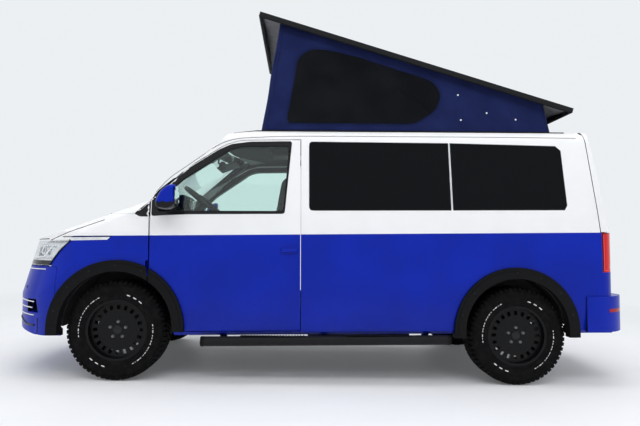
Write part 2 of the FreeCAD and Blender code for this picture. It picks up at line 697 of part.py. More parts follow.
def pop_top_lid():
    """Lid drawn flat from its rear edge, then raised."""
    top = [(LID_HALF, 0.0), ("arc", (0.0, LID_CROWN), (-LID_HALF, 0.0))]
    under = [(-LID_HALF, -LID_SKIRT), (-LID_HALF + 20.0, -LID_SKIRT), (-LID_HALF + 26.0, -LID_SKIN + 4.0),
             ("arc", (0.0, LID_CROWN - LID_SKIN), (LID_HALF - 26.0, -LID_SKIN + 4.0)),
             (LID_HALF - 20.0, -LID_SKIRT), (LID_HALF, -LID_SKIRT)]
    lid = face_yz(top + under, 0.0).extrude(V(LID_LENGTH, 0, 0))
    for x0, x1 in ((0.0, 20.0), (LID_LENGTH - 20.0, LID_LENGTH)):
        end = face_yz([(LID_HALF, 0.0), ("arc", (0.0, LID_CROWN), (-LID_HALF, 0.0)),
                       (-LID_HALF, -LID_SKIRT), (LID_HALF, -LID_SKIRT)], x0).extrude(V(x1 - x0, 0, 0))
        lid = lid.fuse(end)
    brackets = []
    for side in (-1, 1):
        y0, y1 = sorted((side * (ARM_Y - 16.0), side * (ARM_Y - 7.0)))
        tab = fuse(box(ARM_ALONG - 16.0, ARM_ALONG + 16.0, y0, y1, -ARM_DROP, 8.0),
                   rod_y(ARM_ALONG, -ARM_DROP, 14.0, y0, y1))
        brackets.append(tab.cut(rod_y(ARM_ALONG, -ARM_DROP, PIN_R + PIN_FIT, y0 - 1.0, y1 + 1.0)))
    return lid_raised(fuse(lid, *brackets))


def lid_raised(shape):
    shape.rotate(V(0, 0, 0), V(0, 1, 0), -LID_TILT)
    shape.translate(V(LID_REAR[0], 0, LID_REAR[1]))
    return shape


def lid_mass():
    """All that lies above the lid's underside, with the seat gap."""
    low = -LID_SKIN + 4.0 - SEAT_GAP
    steps = [(LID_HALF - 26.0, low), ("arc", (0.0, LID_CROWN - LID_SKIN - SEAT_GAP), (-LID_HALF + 26.0, low)),
             (-LID_HALF + 26.0, 900.0), (LID_HALF - 26.0, 900.0)]
    return lid_raised(face_yz(steps, -200.0).extrude(V(LID_LENGTH + 400.0, 0, 0)))


def canvas():
    """Fabric wall of the raised roof, open above and below."""
    steps = [(507.0, 1870.0), (417.0, 2437.0), (336.0, 2900.0), (-1772.0, 2300.0),
             (-1827.0, 2036.0), (-1870.0, 1870.0)]
    outer = side_prism(steps, -CANVAS_HALF, CANVAS_HALF)
    w = CANVAS_WALL
    inner = side_prism([(507.0 - w, 1860.0), (417.0 - w, 2437.0), (335.0 - w, 2910.0),
                        (-1772.0 + w, 2320.0), (-1827.0 + w, 2036.0), (-1870.0 + w, 1860.0)],
                       -CANVAS_HALF + w, CANVAS_HALF - w)
    return cut(outer.cut(inner), lid_mass(), body(-SEAT_GAP))


def sill_bars():
    """Step bars below the sills, on brackets."""
    bar = rod(V(905.0, 962.0, 322.0), V(-935.0, 962.0, 322.0), 36.0)
    brackets = [fuse(box(x - 25.0, x + 25.0, 800.0, 962.0, 316.0, 340.0),
                     box(x - 25.0, x + 25.0, 800.0, 840.0, 316.0, 380.0 - SEAT_GAP))
                for x in (760.0, 0.0, -780.0)]
    return pair(fuse(bar, *brackets))


def mirror():
    """Left door mirror: arm on the sail corner and housing."""
    housing = side_prism([(1224.0, 1318.0), (1200.0, 1405.0), ("arc", (1150.0, 1460.0), (1080.0, 1472.0)),
                          (1072.0, 1300.0), (1130.0, 1284.0)], 975.0, 1150.0)
    hollow = side_prism([(1060.0, 1312.0), (1088.0, 1312.0), (1090.0, 1460.0), (1060.0, 1460.0)], 985.0, 1140.0)
    foot = box(1130.0, 1258.0, 880.0, 990.0, 1290.0, 1324.0)
    return fuse(housing.cut(hollow), foot.cut(body(SEAT_GAP * -1.0)))


# ---- below and inside ---------------------------------------------------
def floor_pan():
    """Floor with sills, long members and the four wheelhouses."""
    half = fuse(box(FLOOR_REAR_X, 1270.0, 0.0, FLOOR_HALF, RAIL_Z + 80.0, FLOOR_Z),
                box(1180.0, 1489.0, 0.0, 480.0, RAIL_Z + 80.0, FLOOR_Z),
                box(FLOOR_REAR_X, 1100.0, 480.0, 560.0, RAIL_Z, RAIL_Z + 80.0),
                box(1180.0, 2160.0, *RAIL_Y, RAIL_Z, RAIL_Z + 80.0),
                box(-930.0, 1000.0, 760.0, SILL_INNER_Y - CLEAR, 380.0, RAIL_Z + 80.0),
                *[box(x - 40.0, x + 40.0, JACK_Y - 32.0, JACK_Y + 32.0, JACK_Z, 382.0)
                  for x in (-JACK_X, JACK_X)])
    for arch, inner, outside in ((ARCH_FRONT, HOUSE_Y_FRONT, 846.0), (ARCH_REAR, HOUSE_Y_REAR, 866.0)):
        half = half.cut(arch_hole(arch, LINER_OUT, inner - 8.0, 1200.0).removeSplitter())
        liner = arch_hole(arch, LINER_OUT, inner - 8.0, outside).removeSplitter()
        liner = liner.cut(arch_hole(arch, LINER_IN, inner, 1300.0).removeSplitter())
        half = fuse(half, liner.cut(box(-FAR, FAR, -FAR, FAR, -FAR, RAIL_Z)))
    return big_solids(fuse(half, mirrored(half)), 100.0)


def scuttle():
    """Bulkhead between engine bay and cabin, with the cowl trough."""
    wall = box(1490.0, 1520.0, -850.0, 850.0, 560.0, 1300.0)
    trough = box(1490.0, BONNET_REAR_X - 4.0, -790.0, 790.0, COWL_Z, COWL_Z + 10.0)
    post = box(1490.0, 1528.0, -760.0, 760.0, 1200.0, 1337.0).common(body(3.0))
    house = arch_hole(ARCH_FRONT, LINER_OUT + SEAT_GAP, HOUSE_Y_FRONT - 8.3, 1200.0)
    whole = cut(fuse(wall, trough).common(body(WALL + 1.0)).fuse(post), house, mirrored(house))
    x, z = BONNET_HINGE
    lugs = []
    for y in (-700.0, 700.0):
        for side in (-1, 1):
            y0, y1 = sorted((y + side * 11.0, y + side * 20.0))
            lugs.append(fuse(box(x - 24.0, x + 8.0, y0, y1, COWL_Z, z - 2.0), rod_y(x, z, 10.0, y0, y1)))
        lugs.append(rod_y(x, z, PIN_R, y - 20.0, y + 20.0))
        lugs.append(box(BONNET_REAR_X - 60.0, x + 8.0, y - 20.0, y + 20.0, COWL_Z - 12.0, COWL_Z))
    return fuse(whole, *lugs)


WHEEL_X, WHEEL_Y, WHEEL_Z = 985.0, 420.0, 1385.0
WHEEL_TILT = 38.0               # lean of the steering wheel from level, degrees


def dashboard():
    """Dashboard with the hood over the instruments."""
    profile = [(1482.0, 1010.0), (1482.0, 1290.0), (1380.0, 1330.0), (1130.0, 1330.0),
               ("arc", (1078.0, 1240.0), (1100.0, 1080.0)), (1160.0, 960.0), (1300.0, 900.0)]
    hood = [(1110.0, 1300.0), (1092.0, 1405.0), (1120.0, 1430.0), (1190.0, 1425.0), (1300.0, 1300.0)]
    top = side_prism(profile, -829.5, 829.5).fuse(side_prism(hood, WHEEL_Y - 175.0, WHEEL_Y + 175.0))
    return top.common(body(WALL + 4.0))


def steering_wheel():
    """Rim, spokes and column of the steering wheel."""
    centre = V(WHEEL_X, WHEEL_Y, WHEEL_Z)
    lean = math.radians(90.0 - WHEEL_TILT)
    axis = V(-math.cos(lean), 0, math.sin(lean))
    rim = Part.makeTorus(185.0, 16.0, V(0, 0, 0), V(0, 0, 1))
    hub = Part.makeCylinder(48.0, 40.0, V(0, 0, -30.0))
    spokes = [box(0.0, 185.0, -14.0, 14.0, -10.0, 6.0)]
    spokes.append(spokes[0].copy())
    spokes[1].rotate(V(0, 0, 0), V(0, 0, 1), 180.0)
    spokes.append(spokes[0].copy())
    spokes[2].rotate(V(0, 0, 0), V(0, 0, 1), -90.0)
    wheel = fuse(rim, hub, *spokes)
    wheel.rotate(V(0, 0, 0), V(0, 0, 1), 90.0)
    wheel.rotate(V(0, 0, 0), V(0, 1, 0), -WHEEL_TILT)
    wheel.translate(centre)
    column = rod(centre - axis * 30.0, centre - axis * 230.0, 28.0)
    shroud = box(985.0, 1160.0, 372.0, 468.0, 1070.0, 1165.0)
    return fuse(wheel, column, shroud)


def seat(x, y, width):
    base = box(x - 240.0, x + 240.0, y - width / 2.0, y + width / 2.0, 535.3, 900.0)
    cushion = box(x - 250.0, x + 260.0, y - width / 2.0, y + width / 2.0, 900.0, 1010.0)
    back = side_prism([(x - 250.0, 1010.0), (x - 130.0, 1010.0), (x - 250.0, 1600.0), (x - 350.0, 1600.0)],
                      y - width / 2.0, y + width / 2.0)
    rest = side_prism([(x - 355.0, 1600.0), (x - 255.0, 1600.0), (x - 275.0, 1780.0), (x - 350.0, 1780.0)],
                      y - 130.0, y + 130.0)
    return fuse(base, cushion, back, rest)


def front_seats():
    return pair(seat(560.0, 430.0, 500.0))


def rear_bench():
    return seat(-1180.0, -120.0, 1040.0)


def kitchen_unit():
    """Cupboards along the left side with the worktop."""
    return box(-1000.0, 60.0, 420.0, 855.0, 535.3, 1250.0).fuse(
        box(-1010.0, 70.0, 400.0, 860.0, 1250.0, 1278.0)).common(body(WALL + 4.0))


def rear_bumper():
    """Bumper with its step below the tailgate."""
    outer = [(-1985.0, 960.0), ("arc", (-2200.0, 935.0), (-2330.0, 790.0)),
             ("arc", (NOSE_X * -1.0, 0.0), (-2330.0, -790.0)),
             ("arc", (-2200.0, -935.0), (-1985.0, -960.0))]
    block = face_xy(outer, 372.0).extrude(V(0, 0, 640.0 - 372.0))
    inner = body(0.0)
    hollow = face_xy([(-1984.0, 900.0), ("arc", (-2160.0, 880.0), (-2270.0, 760.0)),
                      ("arc", (-2395.0, 0.0), (-2270.0, -760.0)),
                      ("arc", (-2160.0, -880.0), (-1984.0, -900.0))], 330.0).extrude(V(0, 0, 600.0 - 330.0))
    slope = [(-2600.0, 640.0), (-2600.0, 560.0), (-2420.0, 560.0), (-2330.0, 640.0)]
    chamfer = side_prism(slope, -FAR, FAR)
    hollow = hollow.cut(side_prism([(x, z - 35.0) for x, z in slope], -FAR, FAR))
    under = side_prism([(-2600.0, 372.0), (-2380.0, 372.0), (-2600.0, 470.0)], -FAR, FAR)
    bumper = block.cut([hollow, chamfer, under, body(-0.3), arch_hole(ARCH_REAR, 60.0)])
    return big_solids(bumper, 100.0)


def engine():
    """Engine and gearbox block on brackets that lie on the rails."""
    block = box(1590.0, 2130.0, -380.0, 380.0, 440.0, 1020.0)
    mounts = [box(x, x + 60.0, -RAIL_Y[0] - 40.0, RAIL_Y[0] + 40.0, 500.0 + SEAT_GAP, 540.0)
              for x in (1660.0, 2000.0)]
    return fuse(block, *mounts)


# ---- running gear, in the ground frame ----------------------------------
def rail_height(x):
    """Height of the body rails' underside above the road at x."""
    rake = math.radians(RAKE)
    return (RAIL_Z - x * math.sin(rake)) / math.cos(rake)


def front_subframe():
    """Crossmember, lower arms and strut legs."""
    x, z = front_hub()
    cross = box(x - 130.0, x + 130.0, -430.0, 430.0, z - 150.0, z - 60.0)
    top = rail_height(x + 60.0) - SEAT_GAP
    pads = [box(x - 60.0, x + 60.0, *span, z - 70.0, top) for span in ((-430.0, -RAIL_Y[0]), (RAIL_Y[0], 430.0))]
    arms = []
    for side in (-1, 1):
        arms.append(rod(V(x + 60.0, side * 420.0, z - 105.0), V(x, side * 700.0, z - 130.0), 20.0))
        arms.append(rod(V(x - 110.0, side * 420.0, z - 105.0), V(x, side * 700.0, z - 130.0), 20.0))
        arms.append(rod_z(x, side * 712.0, 24.0, z - 145.0, z - 105.0 - SEAT_GAP))
    return fuse(cross, *pads, *arms)


def rear_axle():
    """Crossmember, trailing arms, hubs and brake discs."""
    x, z = rear_hub()
    cross = rod(V(x + 330.0, -560.0, z), V(x + 330.0, 560.0, z), 45.0)
    parts = [cross]
    for side in (-1, 1):
        arm = side_prism([(x + 380.0, z - 45.0), (x + 380.0, z + 45.0), (x - 60.0, z + 60.0),
                          (x - 60.0, z - 60.0)], *sorted((side * 560.0, side * 640.0)))
        outer = side * (TRACK / 2.0 + HUB_FACE)
        hub_tool = rod_y(x, z, 70.0, *sorted((side * 560.0, side * 790.0)))
        flange = rod_y(x, z, 75.0, *sorted((side * 780.0, outer)))
        disc = rod_y(x, z, 155.0, *sorted((side * 755.0, side * 781.0)))
        parts += [arm, hub_tool, flange, disc]
        parts.append(box(x + 290.0, x + 370.0, *sorted((side * 485.0, side * 555.0)), z,
                         rail_height(x + 370.0) - SEAT_GAP))
    return fuse(*parts)


def knuckle():
    """Left front knuckle with hub and brake disc."""
    x, z = front_hub()
    y = KINGPIN_Y
    post = box(x - 30.0, x + 30.0, y - 95.0, y - 35.0, z - 105.0, z + 100.0)
    carrier = rod_y(x, z, 62.0, y - 90.0, y - 20.0)
    disc = rod_y(x, z, 160.0, y - 24.0, y + 2.0)
    flange = rod_y(x, z, 75.0, y, TRACK / 2.0 + HUB_FACE)
    calliper = box(x - 165.0, x - 95.0, y - 50.0, y + 24.0, z - 70.0, z + 70.0)
    return fuse(post, carrier, disc, flange, calliper)


def lugged_ring():
    """Tyre as flat facets, one shoulder lug and one notch on each, about the origin."""
    turn = 2.0 * math.pi / LUGS
    bead = RIM_W / 2.0 - 8.0 - SEAT_GAP
    half, tread = TYRE_W / 2.0, TREAD_W / 2.0
    profile = [(bead, (BEAD_R + SEAT_GAP) / math.cos(turn / 2.0)), (bead, BEAD_R + 13.0),
               (half, TYRE_R - SIDE_HEIGHT / 2.0), (half - 8.0, TYRE_R - LUG_REACH),
               (tread - 4.0, TYRE_R - 6.0), (tread - LUG_INSET, TYRE_R)]

    def at(facet, share, index, side):
        y, r = profile[index]
        a, b = [V(r * math.sin((facet + n) * turn), side * y, r * math.cos((facet + n) * turn)) for n in (0, 1)]
        return a + (b - a) * share

    def sheet(facet, *corners):
        points = [at(facet, *corner) for corner in corners]
        return Part.Face(Part.makePolygon(points + points[:1]))

    faces = []
    for k in range(LUGS):
        s = LUG_SHARE
        for side in (-1, 1):
            faces.append(sheet(k, (0, 0, side), (1, 0, side), (1, 1, side), (0, 1, side)))
            faces.append(sheet(k, (0, 1, side), (1, 1, side), (1, 2, side), (0, 2, side)))
            faces.append(sheet(k, (0, 2, side), (1, 2, side), (1, 3, side), (s, 3, side), (0, 3, side)))
            faces.append(sheet(k, (0, 3, side), (s, 3, side), (s, 4, side), (0, 4, side)))
            faces.append(sheet(k, (0, 4, side), (s, 4, side), (s, 5, side), (0, 5, side)))
            faces.append(sheet(k, (s, 3, side), (1, 3, side), (1, 5, side), (s, 5, side)))
            for end in (0, s):
                faces.append(sheet(k, (end, 3, side), (end, 4, side), (end, 5, side)))
        faces.append(sheet(k, (0, 5, 1), (s, 5, 1), (1, 5, 1), (1, 5, -1), (s, 5, -1), (0, 5, -1)))
        faces.append(sheet(k, (0, 0, 1), (1, 0, 1), (1, 0, -1), (0, 0, -1)))
    shell = Part.makeShell(faces)
    shell.sewShape()
    solid = Part.makeSolid(shell)
    if solid.Volume < 0:
        solid.reverse()
    return solid


def tyre(x, y):
    solid = lugged_ring()
    solid.translate(V(x, y, TYRE_R))
    return solid


def rim(x, y, side):
    """Wheel with slotted face; side is +1 on the left."""
    half = RIM_W / 2.0
    barrel = Part.makeCylinder(BEAD_R, RIM_W - 28.0, V(0, -half + 14.0, 0), V(0, 1, 0))
    lips = [Part.makeCylinder(BEAD_R + 12.0, 8.0, V(0, y0, 0), V(0, 1, 0)) for y0 in (-half, half - 8.0)]
    barrel = fuse(barrel, Part.makeCylinder(BEAD_R - 0.1, RIM_W, V(0, -half, 0), V(0, 1, 0)))
    hollow = Part.makeCylinder(BEAD_R - RIM_WALL, RIM_W + 2.0, V(0, -half - 1.0, 0), V(0, 1, 0))
    face = Part.makeCylinder(BEAD_R - 4.0, 20.0, V(0, HUB_FACE + 14.0, 0), V(0, 1, 0))
    pad = Part.makeCylinder(84.0, 24.0, V(0, HUB_FACE + SEAT_GAP, 0), V(0, 1, 0))
    wheel = fuse(fuse(barrel, *lips).cut(hollow), face.fuse(pad))
    tools = [Part.makeCylinder(HUB_BORE / 2.0, 60.0, V(0, HUB_FACE - 4.0, 0), V(0, 1, 0))]
    for k in range(SLOTS):
        slot = box(SLOT_R0, SLOT_R1, HUB_FACE - 10.0, HUB_FACE + 60.0, -SLOT_W / 2.0, SLOT_W / 2.0)
        slot.rotate(V(0, 0, 0), V(0, 1, 0), 360.0 * k / SLOTS)
        tools.append(slot)
    for k in range(BOLTS):
        angle = 2.0 * math.pi * k / BOLTS
        tools.append(Part.makeCylinder(BOLT_HOLE / 2.0, 80.0, V(BOLT_CIRCLE / 2.0 * math.sin(angle), HUB_FACE - 4.0,
                                       BOLT_CIRCLE / 2.0 * math.cos(angle)), V(0, 1, 0)))
    wheel = wheel.cut(tools)
    cap = Part.makeCylinder(HUB_BORE / 2.0 - 0.0, 16.0, V(0, HUB_FACE + 22.0, 0), V(0, 1, 0))
    wheel = wheel.fuse(cap).removeSplitter()
    if side < 0:
        wheel = mirrored(wheel)
    wheel.translate(V(x, y, TYRE_R))
    return wheel


# ---- write every node ---------------------------------------------------
def nodes():
    level = make_shell_parts()
    level.update({
        "left_front_door": front_door(), "left_door_glass": door_glass(), "left_mirror": mirror(),
        "sliding_door": sliding_door(), "side_glass": side_glass(), "tailgate_glass": tailgate_glass(), "headlamps": headlamps(),
        "tail_lamps": tail_lamps(), "wheel_arch_trims": wheel_arch_trims(), "side_steps": sill_bars(),
        "pop_top_lid": pop_top_lid(), "lid_arms": lid_arms(), "pop_top_canvas": canvas(),
        "floor_pan": floor_pan(), "scuttle": scuttle(), "dashboard": fuse(dashboard(), steering_wheel()),
        "front_seats": front_seats(), "rear_bench": rear_bench(),
        "kitchen_unit": kitchen_unit(), "rear_bumper": rear_bumper(), "engine": engine()})
    for name in ("front_door", "door_glass", "mirror"):
        level["right_" + name] = mirrored(level["left_" + name])
    done = {name: pitched(shape) for name, shape in level.items()}
    done["front_subframe"] = front_subframe()
    done["rear_axle"] = rear_axle()
    done["left_front_knuckle"] = knuckle()
    done["right_front_knuckle"] = mirrored(knuckle())
    for end, (x, z) in (("front", front_hub()), ("rear", rear_hub())):
        for name, side in (("left", 1), ("right", -1)):
            done[name + "_" + end + "_tyre"] = tyre(x, side * TRACK / 2.0)
            done[name + "_" + end + "_rim"] = rim(x, side * TRACK / 2.0, side)
    return done


def main():
    os.makedirs("parts", exist_ok=True)
    for name, shape in nodes().items():
        shape.exportStep("parts/" + name + ".step")
        bounds = shape.BoundBox
        print(name, [round(k.Volume / 1e6, 2) for k in shape.Solids], shape.isValid(),
              [round(v) for v in (bounds.XMin, bounds.XMax, bounds.YMin, bounds.YMax, bounds.ZMin, bounds.ZMax)])


main()
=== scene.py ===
import math

import bmesh
import bpy
import numpy as np
from mathutils import Matrix, Vector
from mathutils.bvhtree import BVHTree


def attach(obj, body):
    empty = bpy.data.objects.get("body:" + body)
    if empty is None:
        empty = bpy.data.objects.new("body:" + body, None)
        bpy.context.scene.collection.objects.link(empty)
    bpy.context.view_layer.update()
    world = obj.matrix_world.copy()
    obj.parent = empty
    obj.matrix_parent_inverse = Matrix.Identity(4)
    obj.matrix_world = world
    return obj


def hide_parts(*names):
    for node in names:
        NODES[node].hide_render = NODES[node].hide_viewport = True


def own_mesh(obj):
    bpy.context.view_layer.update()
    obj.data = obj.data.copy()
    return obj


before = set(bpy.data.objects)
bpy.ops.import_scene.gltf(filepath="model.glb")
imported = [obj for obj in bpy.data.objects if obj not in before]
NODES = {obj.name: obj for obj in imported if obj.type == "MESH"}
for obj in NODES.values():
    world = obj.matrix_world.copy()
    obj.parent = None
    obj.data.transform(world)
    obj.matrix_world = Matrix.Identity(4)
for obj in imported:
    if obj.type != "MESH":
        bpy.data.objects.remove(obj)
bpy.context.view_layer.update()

# ---- the body's own level frame, millimetres ----------------------------
RAKE = math.radians(1.1)
LENS_MM, CAMERA_AT = 31.9, (0.200, 5.195, 1.060)
YAW, PITCH, ROLL = math.radians(1.93), math.radians(2.79), math.radians(1.13)
BELT = (1.109, 0.0262)          # paint line: height at x 0 and fall per metre forward
NOSE_DIP = (1.885, 0.90, 0.060)  # where the paint line starts to drop, its slope and its depth
# level height and distance from the middle plane down the body's side
FLANK = ((358, 895), (382, 930), (530, 948), (760, 952), (1110, 944), (1285, 925), (1832, 838), (1892, 806))
# centres of the front and rear wheel arches, and of the arch in the front bumper, level x and z
FRONT_ARCH, REAR_ARCH, BUMPER_ARCH = (1535, 420), (-1450, 383), (1544, 372)
# centres in plan from which the corners of nose and tail are met
NOSE_CENTRE, TAIL_CENTRE = (1300.0, 0.0), (-1300.0, 0.0)
SIDES = (("left", 1), ("right", -1))
WHEELS = {"left_front": (1.544, 1), "right_front": (1.544, -1), "left_rear": (-1.456, 1),
          "right_rear": (-1.456, -1)}
TRACK_Y, AXLE_Z = 0.814, 0.368
WELD_DISTANCE = 2e-5


def lv(x, y, z):
    """Point of the level body, millimetres, as a point of the frame, metres."""
    c, s = math.cos(RAKE), math.sin(RAKE)
    return Vector((x * c + z * s, y, -x * s + z * c)) * 0.001


def unlevel(p):
    """Level x and z, millimetres, of a point of the frame."""
    x, z = 1000 * p[0], 1000 * p[2]
    return x * math.cos(RAKE) - z * math.sin(RAKE), x * math.sin(RAKE) + z * math.cos(RAKE)


def flank_y(z):
    """Distance from the middle plane, millimetres, of the plain flank."""
    zs, ys = zip(*FLANK)
    return float(np.interp(z, zs, ys))


# ---- meshes -------------------------------------------------------------
def piece(name, made, material, smooth=30.0, body="van_body", slot=None):
    """Mesh object from vertices and faces, smooth below an angle in degrees, that rides on a body.

    Its slot, the one of its first look if none is given, is worked out but not used.
    """
    mesh = bpy.data.meshes.new(name)
    mesh.from_pydata([tuple(v) for v in made[0]], [], made[1])
    materials = material if isinstance(material, (list, tuple)) else [material]
    for each in materials:
        mesh.materials.append(each)
    slot = slot or SLOT_OF.get(materials[0].name)
    obj = bpy.data.objects.new(name, mesh)
    bpy.context.scene.collection.objects.link(obj)
    tidy(obj, smooth)
    if body:
        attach(obj, body)
    return obj


def tidy(obj, smooth):
    """Welds an object's vertices, turns its faces outwards and marks its edges smooth or sharp."""
    work = bmesh.new()
    work.from_mesh(obj.data)
    bmesh.ops.remove_doubles(work, verts=work.verts, dist=WELD_DISTANCE)
    bmesh.ops.recalc_face_normals(work, faces=work.faces)
    for face in work.faces:
        face.smooth = smooth > 0
    for edge in work.edges:
        if edge.is_manifold:
            edge.smooth = edge.calc_face_angle(0.0) < math.radians(smooth)
    work.to_mesh(obj.data)
    work.free()
    obj.data.update()


def modified(obj, kind, **settings):
    """Adds a modifier with the given settings."""
    modifier = obj.modifiers.new(kind.lower(), kind)
    for key, value in settings.items():
        setattr(modifier, key, value)
    return obj


def joined(parts):
    """Vertices and faces of several (verts, faces) pairs as one pair."""
    verts, faces = [], []
    for some_verts, some_faces in parts:
        start = len(verts)
        verts += list(some_verts)
        faces += [tuple(i + start for i in face) for face in some_faces]
    return verts, faces


def grid(rows, closed_u=False, closed_v=False, caps=False):
    """Faces over rows of points: rows run along v, points in a row along u."""
    count, wide = len(rows), len(rows[0])
    verts = [p for row in rows for p in row]
    faces = []
    for r in range(count if closed_v else count - 1):
        for c in range(wide if closed_u else wide - 1):
            a, b = r * wide + c, r * wide + (c + 1) % wide
            n = ((r + 1) % count) * wide
            faces.append((a, b, n + (c + 1) % wide, n + c))
    if caps:
        faces.append(tuple(range(wide))[::-1])
        faces.append(tuple((count - 1) * wide + c for c in range(wide)))
    return verts, faces


def capped(rings):
    """Rings joined into a skin, the last one filled."""
    verts, faces = grid(rings, closed_u=True)
    return verts, faces + [tuple(range(len(verts) - len(rings[-1]), len(verts)))]


def slab(low, high, chamfer=0.0):
    """Box between two corners with chamfered edges, as verts and faces."""
    low, high = Vector(low), Vector(high)
    middle, half = (low + high) / 2, (high - low) / 2
    c = min(chamfer, min(half) * 0.9)
    if c <= 0:
        verts = [middle + Vector((half.x * i, half.y * j, half.z * k))
                 for i in (-1, 1) for j in (-1, 1) for k in (-1, 1)]
        return verts, [(0, 1, 3, 2), (4, 6, 7, 5), (0, 4, 5, 1), (2, 3, 7, 6), (0, 2, 6, 4), (1, 5, 7, 3)]
    work = bmesh.new()
    bmesh.ops.create_cube(work, size=2.0)
    for v in work.verts:
        v.co = middle + Vector((v.co.x * half.x, v.co.y * half.y, v.co.z * half.z))
    bmesh.ops.bevel(work, geom=work.edges[:], offset=c, segments=2, affect="EDGES", profile=0.5)
    work.verts.index_update()
    made = [v.co.copy() for v in work.verts], [tuple(v.index for v in f.verts) for f in work.faces]
    work.free()
    return made


def tube(points, radius, sides=10, closed=False):
    """Round tube along points; radius may be a list."""
    points = [Vector(p) for p in points]
    count = len(points)
    radii = radius if isinstance(radius, (list, tuple)) else [radius] * count
    rows, normal = [], None
    for i, p in enumerate(points):
        before = points[i - 1] if (i or closed) else p
        after = points[(i + 1) % count] if (i < count - 1 or closed) else p
        ahead = (after - before).normalized()
        if normal is None:
            guess = Vector((0, 0, 1)) if abs(ahead.z) < 0.9 else Vector((1, 0, 0))
            normal = ahead.cross(guess).normalized()
        normal = (normal - ahead * normal.dot(ahead)).normalized()
        across = ahead.cross(normal)
        rows.append([p + (normal * math.cos(t) + across * math.sin(t)) * radii[i] for t in turns(sides)])
    return grid(rows, closed_u=True, closed_v=closed, caps=not closed)


def turns(steps):
    """Evenly spaced angles of one whole turn."""
    return [2 * math.pi * k / steps for k in range(steps)]


def shares(steps):
    """Evenly spaced shares from 0 to 1."""
    return [k / steps for k in range(steps + 1)]


def bulged(count, half_a, half_b, power_a, power_b):
    """Closed outline between a box and an ellipse; lower powers are nearer the box."""
    return [(half_a * math.copysign(abs(math.cos(t)) ** power_a, math.cos(t)),
             half_b * math.copysign(abs(math.sin(t)) ** power_b, math.sin(t))) for t in turns(count)]


def lathe(profile, centre=(0, 0, 0), axis="y", steps=48, closed=False, way=1):
    """Profile of (along, radius) turned about an axis through centre; way -1 turns it round."""
    rows = []
    for along, radius in profile:
        row = []
        for t in turns(steps):
            u, v, w = radius * math.cos(t), radius * math.sin(t), way * along
            row.append(Vector(centre) + Vector({"x": (w, u, v), "y": (u, w, v), "z": (u, v, w)}[axis]))
        rows.append(row)
    return grid(rows, closed_u=True, closed_v=closed)


def smooth_path(points, per=6):
    """Catmull-Rom through points."""
    points = [Vector(p) for p in points]
    full = [points[0]] + points + [points[-1]]
    out = []
    for i in range(1, len(full) - 2):
        a, b, c, d = full[i - 1:i + 3]
        for k in range(per):
            t = k / per
            out.append(0.5 * ((2 * b) + (c - a) * t + (2 * a - 5 * b + 4 * c - d) * t * t
                              + (3 * b - a - 3 * c + d) * t ** 3))
    out.append(points[-1])
    return out


def sided(made, side):
    """A shape built for the left side, mirrored for the right one."""
    if side > 0:
        return made
    return [Vector((v[0], -v[1], v[2])) for v in made[0]], [tuple(reversed(f)) for f in made[1]]


def outline_even(points, count):
    """Closed outline resampled to evenly spaced points."""
    pts = np.array([tuple(p) for p in points] + [tuple(points[0])], float)
    steps = np.r_[0, np.cumsum(np.linalg.norm(np.diff(pts, axis=0), axis=1))]
    at = np.linspace(0, steps[-1], count, endpoint=False)
    return [tuple(float(np.interp(a, steps, pts[:, k])) for k in range(pts.shape[1])) for a in at]


def rounded(points, radius, per=5):
    """Closed 2-D outline with its corners rounded."""
    out, n = [], len(points)
    for i in range(n):
        p, q, r = (np.array(points[(i + k) % n], float) for k in (-1, 0, 1))
        u, v = p - q, r - q
        reach = min(radius, 0.45 * np.linalg.norm(u), 0.45 * np.linalg.norm(v))
        a, b = q + u / np.linalg.norm(u) * reach, q + v / np.linalg.norm(v) * reach
        for k in range(per + 1):
            t = k / per
            out.append(tuple((1 - t) ** 2 * a + 2 * t * (1 - t) * q + t * t * b))
    return out


def inset(points, amount):
    """Closed 2-D outline moved inwards by amount."""
    pts = np.array(points, float)
    area = 0.5 * np.sum(pts[:, 0] * np.roll(pts[:, 1], -1) - np.roll(pts[:, 0], -1) * pts[:, 1])
    sign = 1.0 if area > 0 else -1.0
    before, after = np.roll(pts, 1, 0), np.roll(pts, -1, 0)
    tangent = after - before
    tangent /= np.maximum(np.linalg.norm(tangent, axis=1), 1e-9)[:, None]
    normal = np.c_[-tangent[:, 1], tangent[:, 0]] * sign
    return [tuple(p) for p in pts + normal * amount]


